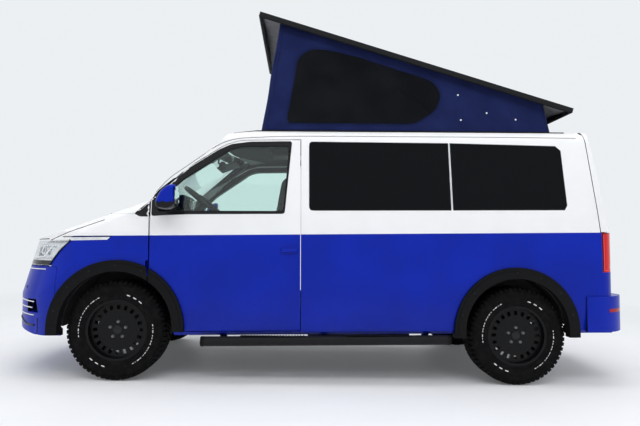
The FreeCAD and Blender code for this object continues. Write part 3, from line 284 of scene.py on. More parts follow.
# ---- materials ----------------------------------------------------------
class Shade:
    """A node material: a principled shader and the nodes that feed it."""

    def __init__(self, name, colour=(0.5, 0.5, 0.5), rough=0.5, metal=0.0, **more):
        self.material = bpy.data.materials.new(name)
        self.material.use_nodes = True
        self.tree = self.material.node_tree
        self.bsdf = next(n for n in self.tree.nodes if n.type == "BSDF_PRINCIPLED")
        self.set(self.bsdf, {"Base Color": colour, "Roughness": rough, "Metallic": metal, **more})
        self.place = self.add("ShaderNodeTexCoord").outputs["Object"]

    def set(self, node, values):
        for key, value in values.items():
            socket = node.inputs[key]
            if isinstance(value, bpy.types.NodeSocket):
                self.tree.links.new(value, socket)
            elif isinstance(value, tuple) and len(value) == 3 and socket.type == "RGBA":
                socket.default_value = (*value, 1.0)
            else:
                socket.default_value = value

    def add(self, kind, values=None, **attributes):
        node = self.tree.nodes.new(kind)
        for key, value in attributes.items():
            setattr(node, key, value)
        self.set(node, values or {})
        return node

    def math(self, operation, a, b=0.0):
        return self.add("ShaderNodeMath", {0: a, 1: b}, operation=operation).outputs[0]

    def mix(self, share, a, b):
        return self.add("ShaderNodeMix", {0: share, 6: a, 7: b}, data_type="RGBA").outputs[2]

    def range(self, value, low, high, to_low=0.0, to_high=1.0):
        values = {"Value": value, "From Min": low, "From Max": high, "To Min": to_low, "To Max": to_high}
        return self.add("ShaderNodeMapRange", values).outputs[0]

    def noise(self, scale, detail=3.0, stretch=None):
        at = self.place
        if stretch:
            at = self.add("ShaderNodeMapping", {"Vector": at, "Scale": stretch}).outputs[0]
        return self.add("ShaderNodeTexNoise", {"Vector": at, "Scale": scale, "Detail": detail}).outputs[0]

    def axis(self, index):
        return self.add("ShaderNodeSeparateXYZ", {0: self.place}).outputs[index]

    def bump(self, height, strength, distance):
        values = {"Height": height, "Strength": strength, "Distance": distance}
        self.set(self.bsdf, {"Normal": self.add("ShaderNodeBump", values).outputs[0]})

    def wave(self, index, pitch):
        """Sine of the given pitch in metres along an axis."""
        return self.math("SINE", self.math("MULTIPLY", self.axis(index), 2 * math.pi / pitch))

    def weave(self, pitch):
        """Plain weave of the given thread pitch in metres, as a height from 0 to 1."""
        waves = [self.wave(index, pitch) for index in range(3)]
        warp = self.math("MULTIPLY", waves[0], waves[2])
        fill = self.math("MULTIPLY", waves[1], waves[2])
        both = self.math("ADD", warp, fill)
        return self.range(both, -1.4, 1.4)


def worn(shade, colour, amount=0.06, scale=9.0):
    """A colour that drifts a little from place to place."""
    light = tuple(min(1.0, c * (1 + amount) + 0.004 * amount) for c in colour)
    dark = tuple(c * (1 - amount) for c in colour)
    return shade.mix(shade.range(shade.noise(scale), 0.35, 0.65), dark, light)


BLUE, FLAKE, WHITE, DUST = (0.0004, 0.0150, 0.3400), (0.010, 0.05, 0.55), (0.830, 0.832, 0.840), (0.26,
                                                                                                  0.25,
                                                                                                  0.23)
PAINT_LINE_BLUR = 0.0008
NET_PITCH = 0.0018


def paint(name, two_tone, base=WHITE):
    """Clear-coated body paint; white above the falling paint line where two-toned."""
    s = Shade(name, rough=0.30, **{"Coat Weight": 0.14, "Coat Roughness": 0.03, "Specular IOR Level": 0.10})
    colour = worn(s, base, 0.012, 5.0)
    if two_tone:
        blue = worn(s, BLUE, 0.10, 3.0)
        flake = s.range(s.noise(2600.0, 0.0), 0.55, 0.75)
        blue = s.mix(s.math("MULTIPLY", flake, 0.05), blue, FLAKE)
        height = s.math("ADD", s.axis(2), s.math("MULTIPLY", s.axis(0), BELT[1]))
        dip = s.math("MULTIPLY", s.math("MAXIMUM", s.math("SUBTRACT", s.axis(0), NOSE_DIP[0]), 0.0),
                     NOSE_DIP[1])
        height = s.math("ADD", height, s.math("MINIMUM", dip, NOSE_DIP[2]))
        colour = s.mix(s.range(height, BELT[0] - PAINT_LINE_BLUR, BELT[0] + PAINT_LINE_BLUR), blue, colour)
    low = s.range(s.axis(2), 0.55, 0.30, 0.0, 0.035)
    dust = s.math("MULTIPLY", s.range(s.noise(34.0, 5.0), 0.40, 0.75), low)
    s.set(s.bsdf, {"Base Color": s.mix(dust, colour, DUST)})
    s.bump(s.noise(240.0, 1.0), 0.05, 0.0002)
    return s.material


def plastic(name, colour, rough=0.55, grain=900.0, depth=0.00012):
    """Moulded plastic with a fine grain."""
    s = Shade(name, rough=rough, **{"Specular IOR Level": 0.16})
    s.set(s.bsdf, {"Base Color": worn(s, colour, 0.10, 16.0),
                   "Roughness": s.range(s.noise(60.0), 0.3, 0.7, rough - 0.07, rough + 0.07)})
    cells = s.add("ShaderNodeTexVoronoi", {"Vector": s.place, "Scale": grain}).outputs[0]
    s.bump(cells, 0.55, depth)
    return s.material


def gloss(name, colour, rough=0.10, coat=0.3):
    """Painted or moulded gloss surface with a faint orange peel."""
    s = Shade(name, rough=rough + 0.15, **{"Coat Weight": coat, "Coat Roughness": rough * 0.4,
                                           "Specular IOR Level": 0.15})
    s.set(s.bsdf, {"Base Color": worn(s, colour, 0.08, 11.0)})
    s.bump(s.noise(320.0, 1.0), 0.06, 0.0002)
    return s.material


def rubber(name, colour, rough=0.78):
    """Tyre or seal rubber with a dusty, mottled skin."""
    s = Shade(name, rough=rough, **{"Specular IOR Level": 0.12})
    dusty = s.mix(s.range(s.noise(26.0, 6.0), 0.45, 0.8, 0.0, 0.22), colour, (0.030, 0.029, 0.027))
    s.set(s.bsdf, {"Base Color": dusty,
                   "Roughness": s.range(s.noise(90.0), 0.3, 0.7, rough - 0.10, rough + 0.08)})
    s.bump(s.noise(700.0, 4.0), 0.35, 0.0004)
    return s.material


def metal(name, colour, rough=0.25, brushed=None):
    """Metal, optionally brushed along one axis."""
    s = Shade(name, rough=rough, metal=1.0)
    stretch = {"x": (4.0, 900.0, 900.0), "y": (900.0, 4.0, 900.0), "z": (900.0, 900.0, 4.0)}.get(brushed)
    streaks = s.noise(1.0, 3.0, stretch) if stretch else s.noise(140.0, 4.0)
    s.set(s.bsdf, {"Base Color": worn(s, colour, 0.06, 22.0),
                   "Roughness": s.range(streaks, 0.3, 0.7, rough * 0.75, rough * 1.35)})
    s.bump(streaks, 0.12, 0.0002)
    return s.material


def glass(name, colour, alpha, shine=0.5):
    """Dark or frosted pane with a faint haze."""
    s = Shade(name, colour=colour, rough=0.015, **{"IOR": 1.45, "Specular IOR Level": shine})
    haze = s.range(s.noise(7.0, 4.0), 0.35, 0.75, 0.015, 0.035)
    facing = s.add("ShaderNodeLayerWeight", {"Blend": 0.35}).outputs[1]
    edge = s.range(facing, 0.0, 1.0, alpha, min(1.0, alpha + 0.35))
    s.set(s.bsdf, {"Roughness": haze, "Alpha": edge})
    return s.material


def clear_glass(name, colour, shine=0.5):
    """Tinted pane seen through: the tint is taken once for each pane."""
    s = Shade(name, colour=colour, rough=0.0, **{"IOR": 1.45, "Specular IOR Level": shine,
                                                 "Transmission Weight": 1.0})
    s.set(s.bsdf, {"Base Color": worn(s, colour, 0.01, 1.5)})
    return s.material


def fabric(name, colour, light, pitch):
    """Woven cloth: threads cross in colour and in height, with soft creases."""
    s = Shade(name, rough=0.86, **{"Sheen Weight": 0.04, "Sheen Roughness": 0.5,
                                   "Specular IOR Level": 0.15})
    threads = s.weave(pitch)
    cloudy = s.mix(s.range(s.noise(6.0, 5.0), 0.35, 0.7), colour, light)
    dark = tuple(c * 0.55 for c in colour)
    s.set(s.bsdf, {"Base Color": s.mix(s.math("MULTIPLY", threads, 0.45), cloudy, dark)})
    creases = s.math("MULTIPLY", s.noise(14.0, 4.0), 2.5)
    s.bump(s.math("ADD", threads, creases), 0.5, 0.0006)
    return s.material


def mesh_net(name):
    """Fly screen: fine square net, partly open."""
    s = Shade(name, rough=0.8, **{"Specular IOR Level": 0.08})
    lines = [s.math("GREATER_THAN", s.wave(index, NET_PITCH), 0.1) for index in (0, 2)]
    s.set(s.bsdf, {"Alpha": s.range(s.math("MAXIMUM", lines[0], lines[1]), 0.0, 1.0, 0.90, 1.0),
                   "Base Color": worn(s, (0.0055, 0.0062, 0.0078), 0.2, 5.0)})
    s.bump(s.math("ADD", lines[0], lines[1]), 0.3, 0.0003)
    return s.material


def lens(name, colour, ribs, glow=0.0):
    """Moulded lamp lens with vertical optic ribs."""
    s = Shade(name, rough=0.08, **{"Coat Weight": 0.15, "Coat Roughness": 0.02, "Specular IOR Level": 0.2})
    wave = s.wave(2, ribs)
    deep = tuple(c * 0.55 for c in colour)
    s.set(s.bsdf, {"Base Color": s.mix(s.range(wave, -1.0, 1.0), deep, colour),
                   "Emission Color": colour, "Emission Strength": glow})
    s.bump(wave, 0.25, 0.0008)
    return s.material


def laminate(name, colour, dark):
    """Light furniture board with a long grain."""
    s = Shade(name, rough=0.42, **{"Coat Weight": 0.3})
    grain = s.noise(1.0, 6.0, (5.0, 60.0, 60.0))
    s.set(s.bsdf, {"Base Color": s.mix(s.range(grain, 0.35, 0.7), dark, colour)})
    s.bump(grain, 0.15, 0.0004)
    return s.material


def cast(name, colour):
    """Rough cast or undersealed surface."""
    s = Shade(name, rough=0.72)
    s.set(s.bsdf, {"Base Color": worn(s, colour, 0.25, 12.0)})
    s.bump(s.noise(160.0, 6.0), 0.6, 0.0015)
    return s.material


BODY = paint("body_paint", True)
WHITE_PAINT = paint("white_paint", False)
BLUE_PAINT = paint("blue_paint", False, BLUE)
TRIM = plastic("grained_black_plastic", (0.0022, 0.0022, 0.0026), 0.60, 1500.0)
TRIM_FINE = plastic("fine_black_plastic", (0.0085, 0.0085, 0.0095), 0.34, 2600.0, 0.00005)
PIANO = gloss("gloss_black", (0.0050, 0.0052, 0.0060), 0.05)
RIM_PAINT = gloss("rim_gloss_black", (0.0022, 0.0023, 0.0028), 0.14, 0.04)
LID_PAINT = gloss("lid_satin_black", (0.0075, 0.0077, 0.0088), 0.26, 0.08)
LID_INNER = plastic("lid_inner_grey", (0.16, 0.16, 0.17), 0.6, 500.0)
TYRE = rubber("tyre_rubber", (0.0020, 0.0020, 0.0024))
SEAM = rubber("seam_filler", (0.16, 0.16, 0.165), 0.6)
MIRROR = metal("mirror_glass", (0.90, 0.92, 0.93), 0.02)
SEAL = rubber("seal_rubber", (0.0080, 0.0080, 0.0085), 0.6)
MARK = plastic("tyre_marking", (0.74, 0.74, 0.73), 0.6, 900.0)
CLEAR_GLASS = clear_glass("green_tinted_glass", (0.800, 0.945, 0.905), 0.35)
SCREEN_GLASS = clear_glass("windscreen_glass", (0.820, 0.945, 0.910), 0.35)
DARK_GLASS = glass("privacy_glass", (0.0030, 0.0038, 0.0048), 0.985, 0.10)
LAMP_GLASS = glass("lamp_cover", (0.80, 0.84, 0.88), 0.12)
CHROME = metal("chrome", (0.86, 0.87, 0.88), 0.07)
ALLOY = metal("brushed_alloy", (0.74, 0.75, 0.77), 0.26, "x")
STEEL = metal("zinc_steel", (0.46, 0.47, 0.48), 0.34)
STEEL_DARK = metal("dark_zinc", (0.20, 0.20, 0.21), 0.36)
RED = lens("red_lens", (0.72, 0.004, 0.008), 0.008, glow=0.04)
RED_DEEP = lens("red_reflector", (0.42, 0.004, 0.010), 0.006)
AMBER = lens("amber_lens", (0.80, 0.22, 0.012), 0.006)
CLEAR_LENS = lens("clear_lens", (0.62, 0.64, 0.66), 0.007)
LIGHT_PIPE = lens("light_pipe", (0.90, 0.92, 0.96), 0.02, glow=0.25)
CANVAS = fabric("navy_canvas", (0.0085, 0.0150, 0.0750), (0.0125, 0.0215, 0.0980), 0.0022)
CANVAS_EDGE = fabric("navy_piping", (0.0060, 0.0100, 0.0500), (0.0090, 0.0150, 0.0680), 0.0014)
NET = mesh_net("fly_screen")
SEAT = fabric("seat_cloth", (0.0400, 0.0420, 0.0470), (0.0600, 0.0620, 0.0690), 0.0026)
SEAT_SIDE = fabric("seat_bolster_cloth", (0.0200, 0.0205, 0.0225), (0.0280, 0.0290, 0.0320), 0.0018)
CABIN = plastic("cabin_plastic", (0.0290, 0.0295, 0.0320), 0.6, 800.0)
CABIN_LIGHT = plastic("cabin_grey_plastic", (0.27, 0.27, 0.28), 0.6, 800.0)
HEADLINER = fabric("headliner_cloth", (0.060, 0.062, 0.064), (0.075, 0.077, 0.080), 0.0020)
BOARD = laminate("light_board", (0.56, 0.50, 0.42), (0.42, 0.36, 0.29))
WORKTOP = gloss("worktop", (0.10, 0.10, 0.11), 0.3, 0.3)
VINYL = plastic("floor_vinyl", (0.16, 0.16, 0.165), 0.55, 200.0, 0.0003)
UNDER = cast("underseal", (0.020, 0.020, 0.021))
CAST = cast("cast_iron", (0.060, 0.058, 0.056))
EXHAUST = metal("exhaust_steel", (0.36, 0.34, 0.32), 0.42)
LENS_DARK = gloss("projector_lens", (0.035, 0.040, 0.048), 0.03, 1.0)
LAMP_BOWL = metal("lamp_silver", (0.80, 0.82, 0.85), 0.22)
TAIL_LINE = lens("tail_line", (0.95, 0.14, 0.12), 0.02, glow=0.12)
PLATE = gloss("blank_plate", (0.80, 0.80, 0.78), 0.25, 0.5)

# the slot that each look belongs to, where a piece names no other
SLOTS = {"black_plastic": (TRIM, TRIM_FINE, PIANO), "rim_black": (RIM_PAINT,), "tyre": (TYRE,),
         "bare_steel": (CHROME, ALLOY, STEEL, STEEL_DARK, MIRROR, EXHAUST), "chassis_steel": (CAST,),
         "dark_trim": (SEAL, SEAM, CABIN, LID_INNER), "canvas": (CANVAS, CANVAS_EDGE, NET),
         "white_paint": (WHITE_PAINT, PLATE), "blue_paint": (BODY, BLUE_PAINT),
         "cabinet": (CABIN_LIGHT, BOARD, WORKTOP), "lamp_glass": (LENS_DARK, LIGHT_PIPE),
         "red_lamp": (RED, RED_DEEP, AMBER, TAIL_LINE, CLEAR_LENS), "seat_fabric": (SEAT, SEAT_SIDE), }
SLOT_OF = {look.name: slot for slot, looks in SLOTS.items() for look in looks}


# ---- the CAD nodes' own look --------------------------------------------
CREASE_ANGLE = math.radians(32.0)


def dress(node, material):
    """Gives a CAD node its material and soft shading over its curved faces."""
    obj = NODES[node]
    obj.data.materials.clear()
    obj.data.materials.append(material)
    obj.data.shade_smooth()
    modified(obj, "WELD", merge_threshold=0.00004)
    modified(obj, "EDGE_SPLIT", split_angle=CREASE_ANGLE)


LOOKS = {
    "left_side": BODY, "right_side": BODY, "left_front_door": BODY, "right_front_door": BODY,
    "sliding_door": BODY, "front_wings": BODY, "front_bumper": BODY, "rear_bumper": BODY,
    "tailgate": BODY, "roof_panel": WHITE_PAINT, "bonnet": WHITE_PAINT, "scuttle": TRIM,
    "grille": PIANO, "windscreen": SCREEN_GLASS, "side_glass": DARK_GLASS, "tailgate_glass": DARK_GLASS,
    "left_door_glass": CLEAR_GLASS, "right_door_glass": CLEAR_GLASS, "headlamps": LAMP_GLASS,
    "tail_lamps": RED, "wheel_arch_trims": TRIM, "side_steps": TRIM_FINE, "floor_pan": UNDER,
    "dashboard": CABIN, "front_seats": SEAT, "rear_bench": SEAT, "kitchen_unit": BOARD,
    "engine": CAST, "front_subframe": UNDER, "rear_axle": UNDER, "left_mirror": BODY,
    "right_mirror": BODY, "lid_arms": STEEL, "pop_top_lid": LID_PAINT, "pop_top_canvas": CANVAS,
    "left_front_knuckle": CAST, "right_front_knuckle": CAST,
}


def level_centre(polygon):
    """Level centre of a face, millimetres."""
    x, z = unlevel(polygon.center)
    return x, 1000 * polygon.center.y, z


def recolour(node, material, chosen):
    """Gives the faces of a node that a test picks a second material."""
    mesh = NODES[node].data
    mesh.materials.append(material)
    index = len(mesh.materials) - 1
    for polygon in mesh.polygons:
        if chosen(*level_centre(polygon), polygon.normal):
            polygon.material_index = index


def reach(x, z, arch):
    """Distance from the centre of a wheel arch."""
    return math.hypot(x - arch[0], z - arch[1])


def two_part_looks():
    """Flares on the doors, black intake, dark linings and a pale headliner."""
    for door in ("left_front_door", "right_front_door"):
        recolour(door, CABIN, lambda x, y, z, n: n.y * y < 0 and abs(n.y) > 0.25)
        recolour(door, TRIM, lambda x, y, z, n: 415 < reach(x, z, FRONT_ARCH) < 500
                 and abs(y) > flank_y(z) - 14 and z > 380)
    recolour("front_bumper", TRIM_FINE, lambda x, y, z, n: abs(y) < 622 and 453 < z < 602)
    recolour("front_bumper", TRIM_FINE, lambda x, y, z, n: n.x < -0.4)
    for side in ("left_side", "right_side", "sliding_door"):
        recolour(side, CABIN, lambda x, y, z, n: n.y * y < 0 and abs(n.y) > 0.25 and z > 500)
    recolour("front_bumper", SEAL, lambda x, y, z, n: reach(x, z, BUMPER_ARCH) < 452)
    recolour("front_wings", SEAL, lambda x, y, z, n: reach(x, z, FRONT_ARCH) < 428 or n.y * y < 0
             and abs(n.y) > 0.25)
    recolour("rear_bumper", SEAL, lambda x, y, z, n: reach(x, z, REAR_ARCH) < 452 or n.x > 0.5)
    for side in ("left_side", "right_side", "sliding_door"):
        recolour(side, SEAL, lambda x, y, z, n: reach(x, z, REAR_ARCH) < 446)
    recolour("headlamps", LAMP_BOWL, lambda x, y, z, n: (x - 1500) * n.x + y * n.y < -60 * abs(n.z))
    recolour("headlamps", PIANO, lambda x, y, z, n: abs(n.z) > 0.8)
    recolour("roof_panel", HEADLINER, lambda x, y, z, n: n.z < -0.2 and x > -2010)
    recolour("tailgate", CABIN, lambda x, y, z, n: n.x > 0.3)
    recolour("floor_pan", VINYL, lambda x, y, z, n: n.z > 0.9 and 528 < z < 542)
    recolour("bonnet", UNDER, lambda x, y, z, n: n.z < -0.3)


def dress_all():
    for node, material in LOOKS.items():
        dress(node, material)
    for corner in WHEELS:
        dress(f"{corner}_tyre", TYRE)
        dress(f"{corner}_rim", RIM_PAINT)
    two_part_looks()


# ---- wheels -------------------------------------------------------------
TYRE_R, MARK_R, PITCHES = 0.368, 0.2715, 60
CARCASS = ((0.0, 0.3585), (0.060, 0.3580), (0.092, 0.3560), (0.105, 0.3490), (0.1135, 0.3360),
           (0.1185, 0.3180), (0.1205, 0.2960), (0.1196, 0.2870), (0.1206, 0.2845), (0.1196, 0.2820),
           (0.1180, 0.2620), (0.1162, 0.2590), (0.1170, 0.2560), (0.1120, 0.2380), (0.1125, 0.2330),
           (0.1075, 0.2270), (0.1045, 0.2190), (0.1000, 0.2165), (0.0900, 0.2165))
RIBS = ((-0.014, 0.014, 0.0), (0.019, 0.045, 0.5), (0.050, 0.075, 0.0))
SHOULDER = ((0.0800, 0.3668), (0.0990, 0.3650), (0.1085, 0.3560), (0.1165, 0.3380))


def on_wheel(centre, along, radius, angle):
    """Point on a wheel, from along its axle, its radius and the angle from the top."""
    return Vector(centre) + Vector((radius * math.sin(angle), along, radius * math.cos(angle)))


def tread_block(centre, y0, y1, a0, a1, skew, base, top):
    """Block of tread with its upper edge broken, standing on the carcass."""
    chamfer = 0.0013
    turn = chamfer / top
    rows = []
    for radius, cut in ((base, 0.0), (top - chamfer, 0.0), (top, 1.0)):
        corners = ((y0, a0), (y1, a0 + skew), (y1, a1 + skew), (y0, a1))
        row = []
        for k, (y, a) in enumerate(corners):
            y += cut * chamfer * (1 if k in (0, 3) else -1)
            a += cut * turn * (1 if k in (0, 1) else -1)
            row.append(on_wheel(centre, y, radius, a))
        rows.append(row)
    return capped(rows)


def shoulder_lug(centre, side, a0, a1):
    """Lug that runs over the tyre's shoulder on to its side wall."""
    turn = 0.0016 / TYRE_R
    rows = []
    for a, sunk in ((a0, 0.009), (a0 + turn * 0.2, 0.0015), (a0 + turn, 0.0), (a1 - turn, 0.0),
                    (a1 - turn * 0.2, 0.0015), (a1, 0.009)):
        rows.append([on_wheel(centre, side * (y - sunk * 0.5), r - sunk, a) for y, r in SHOULDER])
    return grid(rows)


def sidewall_mark(centre, side, radius, a0, a1, tall):
    """Plain raised dash on the side wall, bent round the wheel."""
    rows = []
    steps = max(2, int((a1 - a0) / 0.03) + 1)
    for k in range(steps + 1):
        a = a0 + (a1 - a0) * k / steps
        pinch = 0.0 if 0 < k < steps else 0.0012
        y = 0.1184 + (radius - 0.262) * 0.06
        rows.append([on_wheel(centre, side * (y - 0.004), radius - tall / 2, a),
                     on_wheel(centre, side * (y + 0.0012), radius - tall / 2 + 0.0012 + pinch, a),
                     on_wheel(centre, side * (y + 0.0012), radius + tall / 2 - 0.0012 - pinch, a),
                     on_wheel(centre, side * (y - 0.004), radius + tall / 2, a)])
    return grid(rows, caps=True)


def mark_arcs():
    """Start, end and height of the light dashes round the side wall, in degrees and metres."""
    marks = []
    for first in (28.0, 208.0):
        at = first
        for k in range(15):
            wide = (3.2, 1.9, 4.4, 2.4, 2.9)[k % 5]
            marks.append((at, at + wide, (0.0085, 0.0070, 0.0090)[k % 3]))
            at += wide + (1.5, 2.1, 1.2, 3.4)[k % 4]
    for first in (138.0, 318.0):
        for k in range(3):
            marks.append((first + 10.5 * k, first + 10.5 * k + 5.6, 0.0100))
    return marks


def tyre(corner):
    """Tyre with tread blocks, shoulder lugs and side wall dashes."""
    x, side = WHEELS[corner]
    centre = Vector((x, side * TRACK_Y, AXLE_Z))
    outline = [(-y, r) for y, r in reversed(CARCASS[1:])] + list(CARCASS)
    outline += [(0.090, 0.2200), (0.0, 0.2200), (-0.090, 0.2200)]
    rows = [[on_wheel(centre, y, r, a) for a in turns(120)] for y, r in outline]
    parts = [grid(rows, closed_u=True, closed_v=True)]
    step = 2 * math.pi / PITCHES
    for k in range(PITCHES):
        a = k * step
        for y0, y1, shift in RIBS:
            for s in (1,) if y0 < 0 else (1, -1):
                lo, hi = sorted((s * y0, s * y1))
                start = a + shift * step + (step * 0.25 if s < 0 else 0.0)
                jog = 0.0035 / TYRE_R * (1 if k % 2 else -1)
                top = TYRE_R - 0.0002 - 0.12 * max(0.0, abs(y1) - 0.02) ** 2
                parts.append(tread_block(centre, lo, hi, start + 0.10 * step, start + 0.86 * step,
                                                jog, 0.3560, top))
        for s in (1, -1):
            start = a + (step * 0.3 if s < 0 else 0.0)
            parts.append(shoulder_lug(centre, s, start + 0.12 * step, start + 0.82 * step))
    for a0, a1, tall in mark_arcs():
        parts.append(sidewall_mark(centre, side, MARK_R, math.radians(a0), math.radians(a1), tall))
    obj = piece(f"{corner}_tread_tyre", joined(parts), [TYRE, MARK], 40.0, body=f"{corner}_wheel")
    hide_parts(f"{corner}_tyre")
    for polygon in obj.data.polygons:
        out = side * (polygon.center.y - centre.y)
        radius = math.hypot(polygon.center.x - centre.x, polygon.center.z - centre.z)
        if out > 0.1190 and 0.2640 < radius < 0.2795 and side * polygon.normal.y > 0.8:
            polygon.material_index = 1


RIM_BEADS = (((0.066, 0.1470), (0.0690, 0.1480), (0.0690, 0.1500), (0.066, 0.1510)),
             ((0.066, 0.0880), (0.0686, 0.0895), (0.0686, 0.0915), (0.066, 0.0930)))


def rim_details(corner):
    """Bolts, blank cap, outer lip bead and valve of one wheel."""
    x, side = WHEELS[corner]
    hub = Vector((x, side * TRACK_Y, AXLE_Z))
    face = 0.0680
    parts = []
    for angle in turns(5):
        at = hub + Vector((0.060 * math.sin(angle), 0, 0.060 * math.cos(angle)))
        collar = [(face - 0.004, 0.0125), (face + 0.002, 0.0122), (face + 0.004, 0.0102),
                  (face + 0.004, 0.0)]
        parts.append(lathe(collar, at, "y", 24, way=side))
        head = [(face + 0.003, 0.0098), (face + 0.0135, 0.0098), (face + 0.0150, 0.0086),
                (face + 0.0150, 0.0045), (face + 0.0120, 0.0040), (face + 0.0120, 0.0)]
        parts.append(lathe(head, at, "y", 6, way=side))
    piece(f"{corner}_bolts", joined(parts), STEEL_DARK, body=f"{corner}_wheel")
    cap = [(face - 0.004, 0.0345), (face + 0.0030, 0.0345), (face + 0.0050, 0.0330), (face + 0.0056, 0.0290),
           (face + 0.0040, 0.0270), (face + 0.0046, 0.0240), (face + 0.0056, 0.0100), (face + 0.0058, 0.0)]
    piece(f"{corner}_hub_cap", lathe(cap, hub, "y", 48, way=side), PIANO, body=f"{corner}_wheel",
          slot="rim_black")
    ring = [(0.1035, 0.2170), (0.1075, 0.2200), (0.1080, 0.2255), (0.1050, 0.2285), (0.1000, 0.2260)]
    made = [lathe(ring, hub, "y", 120, way=side)]
    made += [lathe(bead, hub, "y", 96, way=side) for bead in RIM_BEADS]
    piece(f"{corner}_rim_lip", joined(made), RIM_PAINT, 40.0, body=f"{corner}_wheel")
    stem = hub + Vector((0.196 * math.sin(2.2), side * 0.064, 0.196 * math.cos(2.2)))
    valve = [(0.0, 0.0052), (0.012, 0.0050), (0.014, 0.0038), (0.026, 0.0036), (0.027, 0.0042),
             (0.034, 0.0042), (0.035, 0.0)]
    piece(f"{corner}_valve", lathe(valve, stem, "y", 16, way=side), SEAL, body=f"{corner}_wheel",
          slot="tyre")


def wheels():
    for corner in WHEELS:
        tyre(corner)
        rim_details(corner)


# ---- raised roof --------------------------------------------------------
LID_TURN = math.radians(16.75)
LID_AT = (-2002.0, 2118.0)
WALL_Y, WALL_LENGTH, WALL_CORNER = 712.0, 2340.0, 46.0
WALL_ROWS, WALL_THICK = 34, 0.0011
LID_REAR, LID_LENGTH, LID_HALF, LID_RISE, LID_GAP = 24.0, 2589.0, 754.0, 41.0, 1.5
FRONT_LEAN = ((507.0, 1870.0), (336.0, 2900.0))
REAR_LEAN = ((-1870.0, 1870.0), (-1772.0, 2300.0))
CREASES = (((-235, 2700), (-390, 2500), 7.0, 26.0), ((-390, 2500), (-900, 2040), 5.0, 16.0),
           ((330, 2740), (470, 2080), 5.0, 22.0), ((440, 2440), (120, 2760), 4.0, 30.0),
           ((500, 1960), (330, 2120), 5.0, 26.0), ((-1180, 2330), (-1330, 2040), 5.0, 34.0),
           ((-1500, 2230), (-1580, 1980), 5.0, 30.0), ((-1010, 2300), (-1110, 1990), 3.5, 24.0),
           ((-1700, 2160), (-1840, 1960), 5.0, 24.0), ((-1240, 2290), (-1620, 2010), 4.0, 20.0),
           ((60, 2010), (420, 1950), 3.0, 16.0), ((-1480, 2210), (-1180, 2010), 3.0, 24.0))
NET_OUTLINE = ((298, 1995), (264, 2155), (203, 2527), (97, 2599), (-44, 2590), (-328, 2527), (-505, 2466),
               (-754, 2388), (-879, 2345), (-945, 2262), (-940, 2184), (-894, 2094), (-733, 1994))


def tree_of(meshes):
    """Search tree over the faces of some meshes."""
    return BVHTree.FromPolygons(*joined([([v.co.copy() for v in mesh.vertices],
                                          [tuple(p.vertices) for p in mesh.polygons])
                                         for mesh in meshes]))


def drop(tree, x, y):
    """Level height at which a line falling at level x, y in millimetres meets a node."""
    top, low = lv(x, y, 2200.0), lv(x, y, 700.0)
    hit = tree.ray_cast(top, (low - top).normalized())[0]
    return unlevel(hit)[1] if hit else None


def lean(line, z):
    """x at a height on a line through two (x, z) points."""
    (x0, z0), (x1, z1) = line
    return x0 + (x1 - x0) * (z - z0) / (z1 - z0)


def lid_rise(y):
    """Height of the lid's domed underside over its rim."""
    return -20.0 + LID_RISE * max(0.0, 1.0 - (y / LID_HALF) ** 2)


def lid_under(x, y):
    """Level height of the raised lid's underside."""
    along = (x - LID_AT[0]) / math.cos(LID_TURN)
    return LID_AT[1] + along * math.sin(LID_TURN) + (lid_rise(y) - LID_GAP) / math.cos(LID_TURN)


def slack(x, z):
    """How far the side wall hangs in from its flat plane, millimetres."""
    depth = (2.2 + 1.2 * math.sin(x * 0.0105 + z * 0.006) + 0.9 * math.sin(x * 0.021 - z * 0.013 + 1.0)
             + 0.6 * math.sin(x * 0.043 + z * 0.031 + 2.1))
    for (x0, z0), (x1, z1), deep, wide in CREASES:
        dx, dz = x1 - x0, z1 - z0
        long = math.hypot(dx, dz)
        t = ((x - x0) * dx + (z - z0) * dz) / long ** 2
        off = ((x - x0) * dz - (z - z0) * dx) / long
        ends = min(1.0, max(0.0, 4 * t + 1)) * min(1.0, max(0.0, 4 * (1 - t) + 1))
        depth += deep * ends * math.exp(-(off / wide) ** 2)
    return depth


def ring_columns():
    """Share along and share across of each column of the fabric ring, with rounded corners."""
    r, length, width = WALL_CORNER, WALL_LENGTH, WALL_Y
    points = []
    for count, (x0, y0), (x1, y1), (cx, cy), first in ((150, (r, width), (length - r, width),
                                                        (length - r, width - r), 90.0),
                                                       (70, (length, width - r), (length, r - width),
                                                        (length - r, r - width), 0.0),
                                                       (150, (length - r, -width), (r, -width),
                                                        (r, r - width), -90.0),
                                                       (70, (0.0, r - width), (0.0, width - r),
                                                        (r, width - r), -180.0)):
        points += [(x0 + (x1 - x0) * t, y0 + (y1 - y0) * t) for t in shares(count - 1)]
        bend = [math.radians(first - 90.0 * k / 8) for k in range(1, 8)]
        points += [(cx + r * math.cos(t), cy + r * math.sin(t)) for t in bend]
    return [(x / length, y / width) for x, y in points]


def ring_point(along, across, z, inward=0.0):
    x = (1 - along) * lean(FRONT_LEAN, z) + along * lean(REAR_LEAN, z)
    y = WALL_Y * across
    if abs(across) > 0.985:
        y -= math.copysign(slack(x, z) + inward, across)
    elif along < 0.02:
        x -= 3.0 + 2.4 * math.sin(y * 0.011 + z * 0.009) + 1.3 * math.sin(y * 0.027 - z * 0.016) + inward
    elif along > 0.98:
        x += 3.0 + 1.8 * math.sin(y * 0.013 + z * 0.012) + inward
    return x, y


